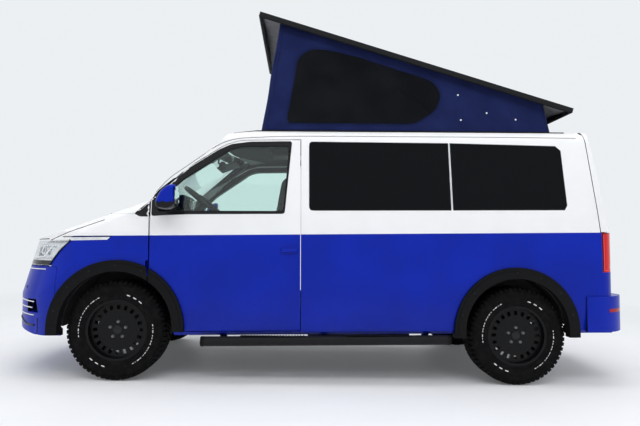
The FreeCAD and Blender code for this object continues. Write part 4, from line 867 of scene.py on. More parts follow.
def canvas_ring(roof):
    """Fabric wall between the roof and the raised lid, with its foot and head lines."""
    columns = ring_columns()
    feet, rows = [], [[] for _ in range(WALL_ROWS + 1)]
    for along, across in columns:
        z0 = 1925.0
        for _ in range(3):
            x, y = ring_point(along, across, z0)
            z0 = (drop(roof, x, y) or z0) + 2.0
        z1 = 2500.0
        for _ in range(6):
            x, y = ring_point(along, across, z1)
            z1 = lid_under(x, y)
        feet.append(lv(*ring_point(along, across, z0), z0 + 3.0))
        for r in range(WALL_ROWS + 1):
            z = z0 + (z1 - z0) * r / WALL_ROWS
            hem = 1.6 if r in (0, WALL_ROWS) else 0.0
            rows[r].append(lv(*ring_point(along, across, z, -hem if r else 0.0), z))
    obj = piece("canvas_wall", grid(rows, closed_u=True), CANVAS, 60.0, body=None)
    modified(obj, "SOLIDIFY", thickness=WALL_THICK, offset=-1.0)
    apply_modifiers(obj)
    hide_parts("pop_top_canvas")
    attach(obj, "van_body")
    return obj, feet, [r.copy() for r in rows[-1]]


def apply_modifiers(obj):
    """Bakes an object's modifiers into its mesh."""
    graph = bpy.context.evaluated_depsgraph_get()
    graph.update()
    made = bpy.data.meshes.new_from_object(obj.evaluated_get(graph))
    obj.modifiers.clear()
    old, obj.data = obj.data, made
    bpy.data.meshes.remove(old)


def wall_patch(outline, lift, side):
    """Patch of the side wall inside an outline of level points, lifted off the cloth."""
    def place(x, z, off):
        return lv(x, side * (WALL_Y - slack(x, z) + lift + off), z)

    return filled(outline, [], place, 1.2, 16.0)


def soft_piece(name, made, material):
    """Piece that rides with the canvas on the van body, with a mesh of its own."""
    fold_away(piece(name, made, material, 60.0))


def fold_away(obj):
    """Gives the piece its own copy of its mesh."""
    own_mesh(obj)


def fly_screens():
    outline = outline_even(rounded(NET_OUTLINE, 60.0, 6), 160)
    for label, side in SIDES:
        soft_piece(f"{label}_fly_screen", wall_patch(outline, 2.2, side), NET)
        edge = [lv(x, side * (WALL_Y - slack(x, z) + 2.0), z) for x, z in outline]
        binding = [lv(x, side * (WALL_Y - slack(x, z) + 1.0), z) for x, z in inset(outline, -13.0)]
        soft_piece(f"{label}_fly_screen_binding",
                   joined([tube(edge, 0.0024, 6, closed=True), tube(binding, 0.0012, 5, closed=True)]),
                   CANVAS_EDGE)
    front = outline_even(rounded(((-430, 2100), (430, 2100), (360, 2560), (-360, 2560)), 70.0, 6), 120)

    def place(y, z, off):
        return lv(ring_point(0.0, y / WALL_Y, z)[0] + 1.6 + off, y, z)

    soft_piece("front_fly_screen", filled(front, [], place, 1.2, 16.0), NET)
    edge = [place(y, z, 0.0) for y, z in front]
    soft_piece("front_fly_screen_binding", tube(edge, 0.0024, 6, closed=True), CANVAS_EDGE)


STUD = ((0.0, 0.0085), (0.0022, 0.0080), (0.0036, 0.0055), (0.0040, 0.0))
SNAPS = ((-1089, 2235), (-1323, 2091), (-1111, 2032), (-297, 2622), (-1560, 2040))


def wall_trim(feet, heads):
    """Foot rail and head welt of the fabric, corner seams and press studs."""
    piece("canvas_foot_rail", tube(feet, 0.0058, 8, closed=True), TRIM_FINE, 60.0)
    soft_piece("canvas_head_welt", tube([p - Vector((0, 0, 0.006)) for p in heads], 0.0042, 8, closed=True),
               CANVAS_EDGE)
    for label, side in SIDES:
        seams = []
        for along, z1 in ((0.020, 2780.0), (0.985, 2190.0)):
            line = []
            for k in range(30):
                z = 1945.0 + (z1 - 1945.0) * k / 29
                x = (1 - along) * lean(FRONT_LEAN, z) + along * lean(REAR_LEAN, z)
                line.append(lv(x, side * (WALL_Y - slack(x, z) + 0.6), z))
            seams.append(tube(line, 0.0018, 6))
        soft_piece(f"{label}_canvas_seams", joined(seams), CANVAS_EDGE)
        studs = []
        for x, z in SNAPS:
            at = lv(x, 0, z)
            at.y = side * (WALL_Y - slack(x, z)) * 0.001
            studs.append(lathe(STUD, at, "y", 20, way=side))
        soft_piece(f"{label}_press_studs", joined(studs), CHROME)


def on_lid(along, y, up):
    """Point of the raised lid: along from its rear edge, across, and up from its rim, millimetres."""
    c, s = math.cos(LID_TURN), math.sin(LID_TURN)
    return lv(LID_AT[0] + along * c - up * s, y, LID_AT[1] + along * s + up * c)


def lid_trim():
    """Grey lining under the lid, rubber edge and the side strips of its shell."""
    rows = []
    for k in range(40):
        along = LID_REAR + (LID_LENGTH - LID_REAR) * k / 39
        row = []
        for j in range(33):
            y = -745.0 + 1490.0 * j / 32
            row.append(on_lid(along, y, lid_rise(y) - 0.9))
        rows.append(row)
    piece("lid_lining", grid(rows), LID_INNER, 40.0, body="roof_lid")
    lines = []
    for y in (-772.0, 772.0):
        lines.append(tube([on_lid(12.0 + LID_LENGTH * k / 30, y, -38.0) for k in range(31)], 0.0055, 8))
    for along in (12.0, 2601.0):
        lines.append(tube([on_lid(along, -768.0 + 1536.0 * k / 20, -38.0) for k in range(21)], 0.0055, 8))
    piece("lid_rubber_edge", joined(lines), SEAL, 40.0, body="roof_lid")


def roof_trim(roof):
    """Rails in the roof gutters and the lip ahead of the roof's opening."""
    for label, side in SIDES:
        line = []
        for k in range(60):
            x = 700.0 - 2620.0 * k / 59
            z = drop(roof, x, side * 770.0)
            if z:
                line.append(lv(x, side * 770.0, z + 2.0))
        if len(line) > 3:
            piece(f"{label}_roof_gutter_rail", tube(smooth_path(line, 1), 0.0050, 8), SEAL, 60.0)
    lip = []
    for k in range(61):
        y = -600.0 + 1200.0 * k / 60
        x = 640.0 + 190.0 * (1 - (y / 600.0) ** 2) - 60.0
        z = drop(roof, x, y)
        if z:
            lip.append(lv(x, y, z + 5.0))
    piece("roof_wind_lip", tube(lip, 0.0085, 10), TRIM_FINE, 60.0)


def raised_roof():
    roof = tree_of([NODES["roof_panel"].data])
    wall, feet, heads = canvas_ring(roof)
    fold_away(wall)
    fly_screens()
    wall_trim(feet, heads)
    lid_trim()
    roof_trim(roof)


# ---- pieces on the body's sides -----------------------------------------
class Skin:
    """Finds the outer face of the body's side, nose and tail from the CAD nodes."""

    def __init__(self, nodes):
        self.tree = tree_of([NODES[node].data for node in nodes])

    def hit(self, start, end):
        start, end = Vector(start), Vector(end)
        return self.tree.ray_cast(start, (end - start).normalized(), (end - start).length)[0]

    def side(self, x, z):
        """Distance from the middle plane, millimetres, of the side at level x, z."""
        best = None
        for dx, dz in ((0, 0), (10, 0), (-10, 0), (0, 10), (0, -10)):
            hit = self.hit(lv(x + dx, 1300, z + dz), lv(x + dx, 500, z + dz))
            if hit is not None and 1000 * hit.y > flank_y(z) - 26 - 120 * (x > 1300):
                best = max(best or 0.0, 1000 * hit.y)
                if dx == dz == 0:
                    break
        return best if best else flank_y(z)

    def around(self, centre, angle, z, depth=0.0):
        """Point on a corner of nose or tail in a direction from a centre in plan, sunk by depth."""
        cx, cy = centre
        dx, dy = math.cos(angle), math.sin(angle)
        hit = self.hit(lv(cx + 1500 * dx, cy + 1500 * dy, z), lv(cx, cy, z))
        if hit is None:
            return None
        x, _ = unlevel(hit)
        far = math.hypot(x - cx, 1000 * hit.y - cy) - depth
        return lv(cx + far * dx, cy + far * dy, z)


def filled(outer, holes, place, depth, step=22.0):
    """Plate between an outline and its holes, with side walls; place(a, b, lift) gives the points."""
    work = bmesh.new()
    edges = []
    for loop in [outer] + list(holes):
        ring = [work.verts.new((a, b, 0.0)) for a, b in loop]
        edges += [work.edges.new((v, ring[(i + 1) % len(ring)])) for i, v in enumerate(ring)]
    bmesh.ops.triangle_fill(work, use_beauty=True, edges=edges)
    for _ in range(6):
        long = [e for e in work.edges if e.calc_length() > step]
        if not long:
            break
        bmesh.ops.subdivide_edges(work, edges=long, cuts=1)
        bmesh.ops.triangulate(work, faces=[f for f in work.faces if len(f.verts) > 3])
    made = bmesh.ops.extrude_face_region(work, geom=work.faces[:])
    sunk = {v for v in made["geom"] if isinstance(v, bmesh.types.BMVert)}
    for v in work.verts:
        v.co = Vector(place(v.co.x, v.co.y, -depth if v in sunk else 0.0))
    work.verts.index_update()
    result = [v.co.copy() for v in work.verts], [tuple(v.index for v in f.verts) for f in work.faces]
    work.free()
    return result


def side_plate(skin, outer, holes, lift, depth, side):
    """Plate that follows the body's side, lifted off it."""
    depths = {}

    def place(x, z, off):
        key = (round(x, 3), round(z, 3))
        if key not in depths:
            depths[key] = skin.side(x, z)
        return lv(x, side * (depths[key] + lift + off), z)

    return filled(outer, holes, place, depth)


DOOR_FRAME = ((1291, 1243), (1291, 1385), (1239, 1447), (1095, 1568), (797, 1762), (706, 1803), (569, 1822),
              (244, 1828), (298, 1262), (1000, 1258), (1200, 1250))
DOOR_WINDOW = ((1196, 1284), (1196, 1398), (1062, 1520), (768, 1713), (713, 1751), (638, 1773), (268, 1780),
               (309, 1284))
PILLAR_PATCH = ((1303, 1240), (1374, 1240), (1417, 1261), (1310, 1366), (1303, 1374))
DIVIDER_X = -976.0
REAR_PANES = (((114, 1286), (114, 1826), (-970, 1820), (-970, 1290)),
              ((-982, 1290), (-982, 1820), (-1815, 1802), (-1856, 1765), (-1868, 1330), (-1846, 1294)))


def on_side(skin, points, side, lift):
    """Level points (x, z) laid on the body's side, lifted off it."""
    return [lv(x, side * (skin.side(x, z) + lift), z) for x, z in points]


def window_frames(skin):
    """Frames and seals of the door windows, and the patch on the pillar ahead of them."""
    outer = rounded(DOOR_FRAME, 22.0, 4)
    hole = rounded(DOOR_WINDOW, 26.0, 5)
    seal_in = inset(hole, -7.0)
    patch = rounded(PILLAR_PATCH, 12.0, 4)
    for label, side in SIDES:
        door = f"{label}_door"
        piece(f"{label}_window_frame", side_plate(skin, outer, [hole], 1.4, 9.0, side), PIANO, 25.0,
              body=door)
        line = on_side(skin, outline_even(seal_in, 140), side, 1.5)
        piece(f"{label}_window_seal", tube(line, 0.0032, 6, closed=True), SEAL, 60.0, body=door)
        piece(f"{label}_pillar_patch", side_plate(skin, patch, [], 1.4, 6.0, side), PIANO, 25.0)


def corner_fillet(corner, before, after, radius):
    """Outline between a sharp corner and the arc that rounds it."""
    q, u, v = (Vector(p) for p in (corner, before, after))
    a, b = q + (u - q).normalized() * radius, q + (v - q).normalized() * radius
    arc = [(1 - t) ** 2 * a + 2 * t * (1 - t) * q + t * t * b for t in shares(7)]
    out = (q - (a + b) / 2).normalized() * 5.0
    return [tuple(p) for p in arc] + [tuple(b + out), tuple(q + out), tuple(a + out)]


def pane_edges(skin):
    """Rounded corners, seals and the bright joint of the rear panes."""
    for label, side in SIDES:
        lines, fillets = [], []
        for outline in REAR_PANES:
            count = len(outline)
            for k in range(count):
                at, *beside = outline[k], outline[k - 1], outline[(k + 1) % count]
                inner = abs(at[0] - DIVIDER_X) < 10
                if not inner and min(math.dist(at, other) for other in beside) >= 70:
                    fillet = corner_fillet(at, *beside, 44.0)
                    fillets.append(side_plate(skin, fillet, [], 0.7, 3.0, side))
            ring = outline_even(rounded(outline, 26.0, 6), 170)
            lines.append(tube(on_side(skin, inset(ring, 3.0), side, -0.6), 0.0026, 6, closed=True))
        piece(f"{label}_pane_corners", joined(fillets), WHITE_PAINT)
        piece(f"{label}_pane_seals", joined(lines), SEAL, 60.0)
        bar = [on_side(skin, [(x, z) for z in np.linspace(1300, 1814, 24)], side, 0.6)
               for x in (DIVIDER_X + 2.5, DIVIDER_X - 2.5)]
        piece(f"{label}_pane_divider", grid(bar), ALLOY)


def wing_strip(skin):
    """Bright strip behind the headlamp, with a black tube above it that is a painted shadow line."""
    outer = rounded(((1905, 1084), (1585, 1087), (1606, 1067), (1882, 1062)), 6.0, 3)
    inner = rounded(((1862, 1079), (1640, 1081), (1648, 1072), (1856, 1069)), 3.0, 3)
    for label, side in SIDES:
        piece(f"{label}_wing_strip", side_plate(skin, outer, [inner], 3.0, 8.0, side), CHROME, 25.0)
        piece(f"{label}_wing_strip_inlay", side_plate(skin, inner, [], 1.8, 5.0, side), ALLOY, 25.0)
        # painted shadow line: a thin gloss black tube on the wing above the strip stands for the shade there
        line = on_side(skin, [(1950 - 10 * k, 1089.5 + 0.10 * k) for k in range(39)], side, 0.8)
        piece(f"{label}_wing_shadow_line", tube(line, 0.0030, 6), PIANO, 60.0)


def handle_at(skin, label, x0, x1, z, body, side):
    """Pull handle over a shallow recess."""
    cup = []
    for share, sunk in ((1.0, -1.0), (0.97, 0.4), (0.90, 0.5)):
        ring = bulged(40, (x1 - x0) / 2 * share, 27.0 * share, 0.6, 0.8)
        cup.append(on_side(skin, [((x0 + x1) / 2 + a, z + b) for a, b in ring], side, sunk + 0.6))
    piece(f"{label}_handle_recess", capped(cup), BODY, 40.0, body=body)
    rows = []
    for t in shares(24):
        x = x0 + 6 + (x1 - x0 - 12) * t
        out = 20.0 * min(1.0, 1.9 * math.sin(math.pi * t) ** 0.55 if 0 < t < 1 else 0.0) + 4.0
        tall = 10.5 + 3.5 * math.sin(math.pi * t)
        face = skin.side(x, z) + out
        rows.append([lv(x, side * (face + 4.5 * math.cos(a)), z + 2.0 + tall * math.sin(a))
                     for a in turns(14)])
    piece(f"{label}_handle", grid(rows, closed_u=True, caps=True), BODY, 50.0, body=body)
    centre = lv(x0 + 22, side * (skin.side(x0 + 22, z) + 22.0), z + 1)
    lock = ((-0.004, 0.0065), (0.0035, 0.0062), (0.0040, 0.0050), (0.0040, 0.0))
    piece(f"{label}_handle_lock", lathe(lock, centre, "y", 20, way=side), STEEL_DARK, body=body)


MIRROR_OUTLINE = ((1226, 1326), (1197, 1406), (1140, 1462), (1083, 1474), (1074, 1312), (1138, 1285),
                  (1210, 1297))
# distance from the middle plane and size of the housing there
MIRROR_SHARES = ((968, 0.70), (972, 0.84), (984, 0.94), (1010, 0.99), (1050, 1.0), (1095, 0.985),
                 (1125, 0.93), (1141, 0.84), (1148, 0.70), (1149.5, 0.45))
MIRROR_MIDDLE = 1060.0


def door_mirror(label, side):
    """Mirror housing: painted cap over a black base, bright lower edge, heated glass."""
    pts = np.array(outline_even(rounded(MIRROR_OUTLINE, 40.0, 8), 64))
    centre = np.array((1105.0, 1372.0))
    rows = []
    for y, share in MIRROR_SHARES:
        ring = centre + (pts - centre) * share
        rows.append([lv(max(x, 1075.0), side * y, z) for x, z in ring])
    cap = piece(f"{label}_mirror_housing", grid(rows, closed_u=True, caps=True), [BLUE_PAINT, TRIM_FINE],
                38.0, body=f"{label}_door")
    for polygon in cap.data.polygons:
        x, z = unlevel(polygon.center)
        if z < 1338.0 or x < 1080.0:
            polygon.material_index = 1
    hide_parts(f"{label}_mirror")
    ring = centre + (pts - centre) * float(np.interp(MIRROR_MIDDLE, *zip(*MIRROR_SHARES)))
    low = sorted([p for p in ring if p[1] < 1334.0 and p[0] > 1090], key=lambda p: p[0])
    edge = tube([lv(x, side * MIRROR_MIDDLE, z + 0.5) for x, z in low], 0.0022, 6)
    piece(f"{label}_mirror_bright_edge", edge, ALLOY, 60.0, body=f"{label}_door")
    glass_rows = []
    for share in (1.0, 0.97, 0.5, 0.05):
        x = 1074.6 - (0.0 if share == 1.0 else 1.4)
        ring = bulged(40, 74.0 * share, 66.0 * share, 0.55, 0.55)
        glass_rows.append([lv(x, side * (MIRROR_MIDDLE + a), 1388.0 + b) for a, b in ring])
    piece(f"{label}_mirror_glass", capped(glass_rows), MIRROR, body=f"{label}_door")
    arm = slab(lv(1135, 900, 1292), lv(1252, 992, 1322), 0.009)
    piece(f"{label}_mirror_arm", sided(arm, side), TRIM_FINE, body=f"{label}_door")


def roof_seam(skin):
    """Dark joint between the roof and the sides, from the screen pillar back."""
    path = ((1271, 1428, 880), (1172, 1537, 860), (1025, 1651, 845), (876, 1754, 835), (763, 1818, 825),
            (649, 1848, 815), (494, 1860, 810), (184, 1870, 808), (-600, 1872, 806), (-1400, 1872, 806),
            (-1990, 1868, 804))
    for label, side in SIDES:
        traced = []
        for x, z, y in smooth_path(path, 5):
            near = skin.hit(lv(x, 1100, z), lv(x, 400, z))
            traced.append((x, 1000 * near.y if near is not None and abs(1000 * near.y - y) < 60 else y, z))
        line = []
        for k, (x, y, z) in enumerate(traced):
            if x > 900.0:
                around = traced[max(0, k - 4):k + 5]
                y = sum(p[1] for p in around) / len(around)
            line.append(lv(x, side * (y + 0.2), z))
        piece(f"{label}_roof_seam", tube(line, 0.0026, 6), SEAM, 60.0)


def flare_screws():
    """Screw heads along the wheel arch flares."""
    heads, trims = [], Skin(["wheel_arch_trims"])
    head = ((-0.002, 0.0085), (0.0016, 0.0085), (0.0028, 0.0065), (0.0028, 0.0030), (0.0012, 0.0028),
            (0.0012, 0.0))
    for (cx, cz), radius in ((FRONT_ARCH, 458), (REAR_ARCH, 435)):
        for share in shares(8):
            angle = math.radians(-8 + 196 * share)
            x, z = cx + radius * math.cos(angle), cz + radius * math.sin(angle)
            hit = trims.hit(lv(x, 1100, z), lv(x, 700, z)) if z >= 372 else None
            if hit is None:
                continue
            for side in (1, -1):
                at = Vector((hit.x, side * hit.y, hit.z))
                heads.append(lathe(head, at, "y", 14, way=side))
    piece("flare_screws", joined(heads), TRIM_FINE)


def step_pads():
    """Ribbed foot pads and end caps on the side bars."""
    for label, side in SIDES:
        parts = []
        for x0, x1 in ((140.0, 620.0), (-640.0, -160.0)):
            parts.append(slab(lv(x0, 935, 352), lv(x1, 985, 361), 0.003))
            for k in range(22):
                x = x0 + 14 + (x1 - x0 - 28) * k / 21
                parts.append(slab(lv(x - 4, 940, 359), lv(x + 4, 980, 363), 0.001))
        piece(f"{label}_step_pads", sided(joined(parts), side), SEAL, slot="tyre")
        ends = []
        for x, way in ((905.0, 1), (-935.0, -1)):
            profile = ((-0.020, 0.0372), (0.002, 0.0372), (0.0055, 0.0340), (0.0060, 0.0))
            ends.append(lathe(profile, lv(x, side * 962, 322), "x", 32, way=way))
        piece(f"{label}_step_caps", joined(ends), TRIM)


def sides():
    """Every piece on the body's sides."""
    skin = Skin(("left_side", "left_front_door", "front_wings", "front_bumper", "rear_bumper",
                 "tail_lamps", "headlamps", "roof_panel", "side_glass"))
    window_frames(skin)
    pane_edges(skin)
    wing_strip(skin)
    roof_seam(skin)
    flare_screws()
    step_pads()
    for label, side in SIDES:
        handle_at(skin, f"{label}_front_door", 190.0, 336.0, 985.0, f"{label}_door", side)
        door_mirror(label, side)
    handle_at(skin, "sliding_door", 18.0, 158.0, 985.0, "van_body", -1)


# ---- nose: lamps, grille, bumper, screen --------------------------------
def end_place(skin, lift, way, middle=1500.0):
    """Maps (y, z) to the nose (way 1) or tail (way -1), lifted along x."""
    found = {}

    def search(y, z):
        for step in range(30):
            share = 1.0 - 0.012 * step
            at = y * share, middle + (z - middle) * share
            hit = skin.hit(lv(way * 3600, *at), lv(way * 500, *at))
            if hit is not None:
                return unlevel(hit)[0]
        return way * 2200.0

    def place(y, z, off):
        key = (round(y, 2), round(z, 2))
        if key not in found:
            found[key] = search(y, z)
        return lv(found[key] + way * (lift + off), y, z)

    return place


def end_plate(skin, outer, holes, lift, depth, way, step=30.0):
    """Plate that follows the nose (way 1) or the tail (way -1)."""
    return filled(outer, holes, end_place(skin, lift, way), depth, step)


def oblong(y0, y1, z0, z1, radius, per=4):
    """Rounded rectangle across the body."""
    return rounded(((y0, z0), (y1, z0), (y1, z1), (y0, z1)), radius, per)


def wrapped(skin, z_at, first, last, side, lift, count=26):
    """Points round a corner of the nose at angles (degrees) from the middle."""
    points = [skin.around(NOSE_CENTRE, side * math.radians(first + (last - first) * t), z_at(t), -lift)
              for t in shares(count)]
    return [p for p in points if p is not None]


def wrapped_band(skin, low, high, first, last, side, lift, depth):
    """Flat band round the corner between two heights given as functions of the share."""
    corners = (low, lift - depth), (low, lift), (high, lift), (high, lift - depth)
    return grid([wrapped(skin, at, first, last, side, off) for at, off in corners], closed_v=True)


def spun(profile, steps, at, direction):
    """Profile of (along, radius) turned about a direction through a point."""
    turn = Vector(direction).normalized().to_track_quat("Z", "Y")
    verts, faces = lathe(profile, axis="z", steps=steps)
    return [Vector(at) + turn @ v for v in verts], faces


def outward(skin, angle, step, z, depth, rise):
    """Point sunk below the nose's corner, and the direction out of the face there."""
    at = skin.around(NOSE_CENTRE, angle, z, depth)
    along = (skin.around(NOSE_CENTRE, angle + step, z, depth) - at).normalized()
    side = math.copysign(1.0, step)
    return at, Vector((along.y * side, -along.x * side, rise))


def lamp_optics(skin):
    """Projector lenses, their bowls and a light pipe behind each clear cover."""
    for label, side in SIDES:
        bowls, rings, eyes = [], [], []
        for degrees, z, radius in ((22.0, 962.0, 0.040), (31.0, 968.0, 0.043), (39.5, 985.0, 0.034)):
            angle = math.radians(degrees) * side
            at, out = outward(skin, angle, side * 0.02, z, 30.0, 0.16)
            bowl = [(0.006, radius * 1.02), (0.008, radius * 0.96), (-0.006, radius * 0.66),
                    (-0.009, radius * 0.60)]
            bowls.append(spun(bowl, 36, at, out))
            ring = [(-0.010, radius * 0.64), (0.002, radius * 0.62), (0.002, radius * 0.55),
                    (-0.010, radius * 0.53)]
            rings.append(spun(ring, 36, at, out))
            eye = [(-0.009 + 0.011 * math.sin(t), radius * 0.55 * math.cos(t))
                   for t in (math.pi / 2 * share for share in shares(8))]
            eyes.append(spun(eye, 36, at, out))
        piece(f"{label}_lamp_bowls", joined(bowls), CHROME)
        piece(f"{label}_lamp_rings", joined(rings), STEEL_DARK)
        piece(f"{label}_lamp_projectors", joined(eyes), LENS_DARK, 60.0)
        pipe = wrapped(skin, lambda t: 932.0 + 6.0 * t, 17.0, 43.0, side, -10.0)
        rise = wrapped(skin, lambda t: 938.0 + 86.0 * t, 43.0, 47.5, side, -10.0, 10)
        piece(f"{label}_lamp_light_pipe", tube(pipe + rise[1:], 0.0055, 8), LIGHT_PIPE, 60.0)
        brow = wrapped(skin, lambda t: 1022.0, 17.0, 44.0, side, -16.0)
        piece(f"{label}_lamp_brow", tube(brow, 0.0070, 8), CHROME, 60.0)


def lamp_borders(skin):
    """Dark bands and bright lines round the lamps and the grille."""
    for label, side in SIDES:
        low = wrapped_band(skin, lambda t: 880.0, lambda t: 911.0, 15.5, 49.3, side, 0.9, 5.0)
        piece(f"{label}_lamp_lower_band", low, PIANO, 25.0)
        lines = [tube(wrapped(skin, lambda t: 872.0, 15.0, 50.0, side, 1.0), 0.0042, 8),
                 tube(wrapped(skin, lambda t: 915.0, 16.0, 48.4, side, 0.6), 0.0024, 8)]
        piece(f"{label}_lamp_bright_lines", joined(lines), CHROME, 60.0)
        chin = tube(wrapped(skin, lambda t: 846.0, 0.0, 47.0, side, 0.3), 0.0045, 8)
        piece(f"{label}_bumper_bright_line", chin, CHROME, 60.0)
        path = [(2058.0 - 176.0 * t, float(np.interp(t, (0, 0.5, 1), (880, 986, 1064)))) for t in shares(24)]
        edge = on_side(skin, path, side, 0.8)
        piece(f"{label}_lamp_rear_edge", tube(edge, 0.0052, 8), PIANO, 60.0)
        brow = wrapped(Skin(["bonnet"]), lambda t: 1066.0 + 8.0 * t, 18.0, 45.0, side, 0.8)
        piece(f"{label}_bonnet_front_line", tube(brow, 0.0034, 8), PIANO, 60.0, body="bonnet_lid")
    bars = []
    for z in (874.0, 919.0, 965.0, 1011.0, 1048.0):
        bars.append(tube(wrapped(skin, lambda t: z, -26.5, 26.5, 1, 0.4, 39), 0.0022, 6))
    piece("grille_bright_lines", joined(bars), CHROME, 60.0)


INLET_EDGES = (506.0, 634.0)


def bumper_corners(skin):
    """Bright blades across the corner inlets, a black hook below and a fog lamp."""
    for label, side in SIDES:
        blades = []
        for low, high, first, last in ((618, 600, 27.0, 43.0), (566, 556, 27.0, 42.0),
                                       (512, 500, 27.5, 43.0)):
            line = wrapped(Closed(skin), lambda t, a=low, b=high: a + (b - a) * t, first, last, side, 1.5)
            blades.append(tube(line, 0.0052, 8))
        piece(f"{label}_inlet_blades", joined(blades), ALLOY, 60.0)
        hook = wrapped(skin, lambda t: 488.0 - 62.0 * min(1.0, 1.5 * t), 28.0, 43.0, side, 0.6)
        piece(f"{label}_bumper_hook", tube(hook, 0.0075, 8), PIANO, 60.0)
        at, out = outward(skin, side * math.radians(30.0), side * math.radians(1.5), 470.0, -1.0, 0.0)
        ring = [(-0.030, 0.046), (0.002, 0.046), (0.005, 0.042), (0.003, 0.036), (-0.008, 0.034)]
        cover = [(-0.008, 0.034), (-0.002, 0.026), (0.0, 0.013), (0.0005, 0.0)]
        piece(f"{label}_fog_surround", spun(ring, 40, at, out), PIANO)
        piece(f"{label}_fog_lens", spun(cover, 40, at, out), CLEAR_LENS, 60.0, slot="lamp_glass")


class Closed:
    """The bumper's face as if its corner inlets were closed."""

    def __init__(self, skin):
        self.skin = skin

    def around(self, centre, angle, z, depth=0.0):
        low, high = (self.skin.around(centre, angle, level, depth) for level in INLET_EDGES)
        (x0, _), (x1, _) = unlevel(low), unlevel(high)
        share = (z - INLET_EDGES[0]) / (INLET_EDGES[1] - INLET_EDGES[0])
        return lv(x0 + (x1 - x0) * share, 1000 * (low.y + (high.y - low.y) * share), z)


def sensors(skin, name, way, z, spots):
    """Parking sensors in a bumper; spots give the distance across and the turn outwards."""
    rings = [(-0.004, 0.0135), (0.0006, 0.0135), (0.0006, 0.0118), (-0.0004, 0.0112), (-0.0002, 0.0)]
    parts = [spun(rings, 24, end_place(skin, 0.0, way)(y, z, 0.0), (way, turn, 0)) for y, turn in spots]
    piece(name, joined(parts), SEAL)


def swept(place, start, run, bow, count):
    """Bowed line on the nose or the tail: a point, the way it runs and its rise at mid-length."""
    return [place(start[0] + run[0] * t, start[1] + run[1] * t, bow * math.sin(math.pi * t))
            for t in shares(count)]


def front_plate(skin):
    """Blank number plate on its holder, and the sensors in the bumper."""
    holder = end_plate(skin, oblong(-268, 268, 648, 768, 10), [], 5.0, 16.0, 1, 60.0)
    piece("front_plate_holder", holder, TRIM)
    plate = end_plate(skin, oblong(-260, 260, 652, 763, 7), [], 7.0, 1.8, 1, 60.0)
    piece("front_plate", plate, PLATE)
    sensors(skin, "front_sensors", 1, 700.0, ((-700.0, -0.55), (-330.0, 0.0), (330.0, 0.0), (700.0, 0.55)))


WIPERS = (("left", (430.0, 1306.0), (-250.0, 1392.0)), ("right", (-250.0, 1306.0), (-700.0, 1430.0)))


def screen_reach(screen, z):
    """Half width of the windscreen at a level height."""
    return max((y for y in range(560, 780, 6) if screen.hit(lv(2400, y, z), lv(500, y, z)) is not None),
               default=560)


def screen_trim(screen):
    """Dark printed border, wipers and the sensor cover at the top of the windscreen."""
    place = end_place(screen, 0.6, 1, 1600.0)
    heights = [1316 + 20 * k for k in range(30)]
    reach = {z: screen_reach(screen, z) - 2.0 for z in heights}
    outer = [(reach[z], z) for z in heights] + [(-reach[z], z) for z in reversed(heights)]
    inner = [(reach[z] - 52.0, z) for z in heights if 1340 < z < 1848]
    inner += [(-y, z) for y, z in reversed(inner)]
    made = filled(outer, [rounded(inner, 40.0, 3)], place, 3.0, 45.0)
    piece("screen_border", made, SEAL, slot="black_plastic")
    cover = filled(oblong(-75, 75, 1772, 1880, 22), [], end_place(screen, -6.0, 1), 26.0, 40.0)
    piece("screen_sensor_cover", cover, CABIN)
    for label, foot, tip in WIPERS:
        (fy, fz), (ty, tz) = foot, tip
        middle = ((fy + ty) / 2 - 40.0, (fz + tz) / 2 - 8.0)
        lift = end_place(screen, 16.0, 1)
        arm = swept(lift, foot, (middle[0] - fy, middle[1] - fz), 8.0, 12)
        blade = swept(end_place(screen, 7.0, 1), (fy - 30, fz + 22), (ty - fy, tz - fz), 4.0, 20)
        knob = [(-0.012, 0.016), (0.010, 0.016), (0.013, 0.012), (0.014, 0.0)]
        parts = [tube(arm, [0.0075] + [0.0055] * 11 + [0.0045], 8), tube(blade, 0.0052, 8),
                 spun(knob, 20, lift(fy, fz, 0.0), (0.55, 0, 0.83))]
        piece(f"{label}_wiper", joined(parts), TRIM_FINE, 40.0)


def nose_details():
    skin = Skin(["front_bumper", "grille", "headlamps", "front_wings", "bonnet"])
    lamp_optics(skin)
    lamp_borders(skin)
    bumper_corners(skin)
    front_plate(skin)
    screen_trim(Skin(["windscreen"]))


# ---- tail: lamps, reflectors, plate, glass surround ---------------------
def tail_lamps(skin):
    """Edge frame, lit lines and coloured fields on the tail lamps."""
    for label, side in SIDES:
        edge = [side_plate(skin, outline, [], 0.8, 4.0, side)
                for outline in (((-2119, 824), (-2119, 1121), (-2127, 1121), (-2127, 824)),
                                ((-2119, 1113), (-2119, 1121), (-2176, 1121), (-2176, 1113)))]
        piece(f"{label}_tail_lamp_edge", joined(edge), PIANO, 25.0)
        line = side_plate(skin, ((-2131, 834), (-2131, 1106), (-2134.5, 1106), (-2134.5, 837.5),
                                 (-2172, 837.5), (-2172, 834)), [], 0.9, 3.0, side)
        piece(f"{label}_tail_lamp_line", line, TAIL_LINE, 25.0)
        for name, low, high, look in (("reverse", 846, 884, CLEAR_LENS), ("turn", 892, 932, AMBER)):
            made = end_plate(skin, oblong(side * 815, side * 905, low, high, 8), [], 0.9, 3.0, -1)
            piece(f"{label}_{name}_field", made, look, 25.0)


def bumper_reflectors(skin):
    """Red strips round the corners of the rear bumper."""
    for label, side in SIDES:
        rows = []
        for z, off in ((519.0, -3.0), (519.0, 1.2), (545.0, 1.2), (545.0, -3.0)):
            angles = [math.radians(180.0 - side * (27.0 + 21.0 * t)) for t in shares(30)]
            rows.append([skin.around(TAIL_CENTRE, angle, z, -off) for angle in angles])
        piece(f"{label}_rear_reflector", grid(rows, closed_v=True), RED_DEEP)


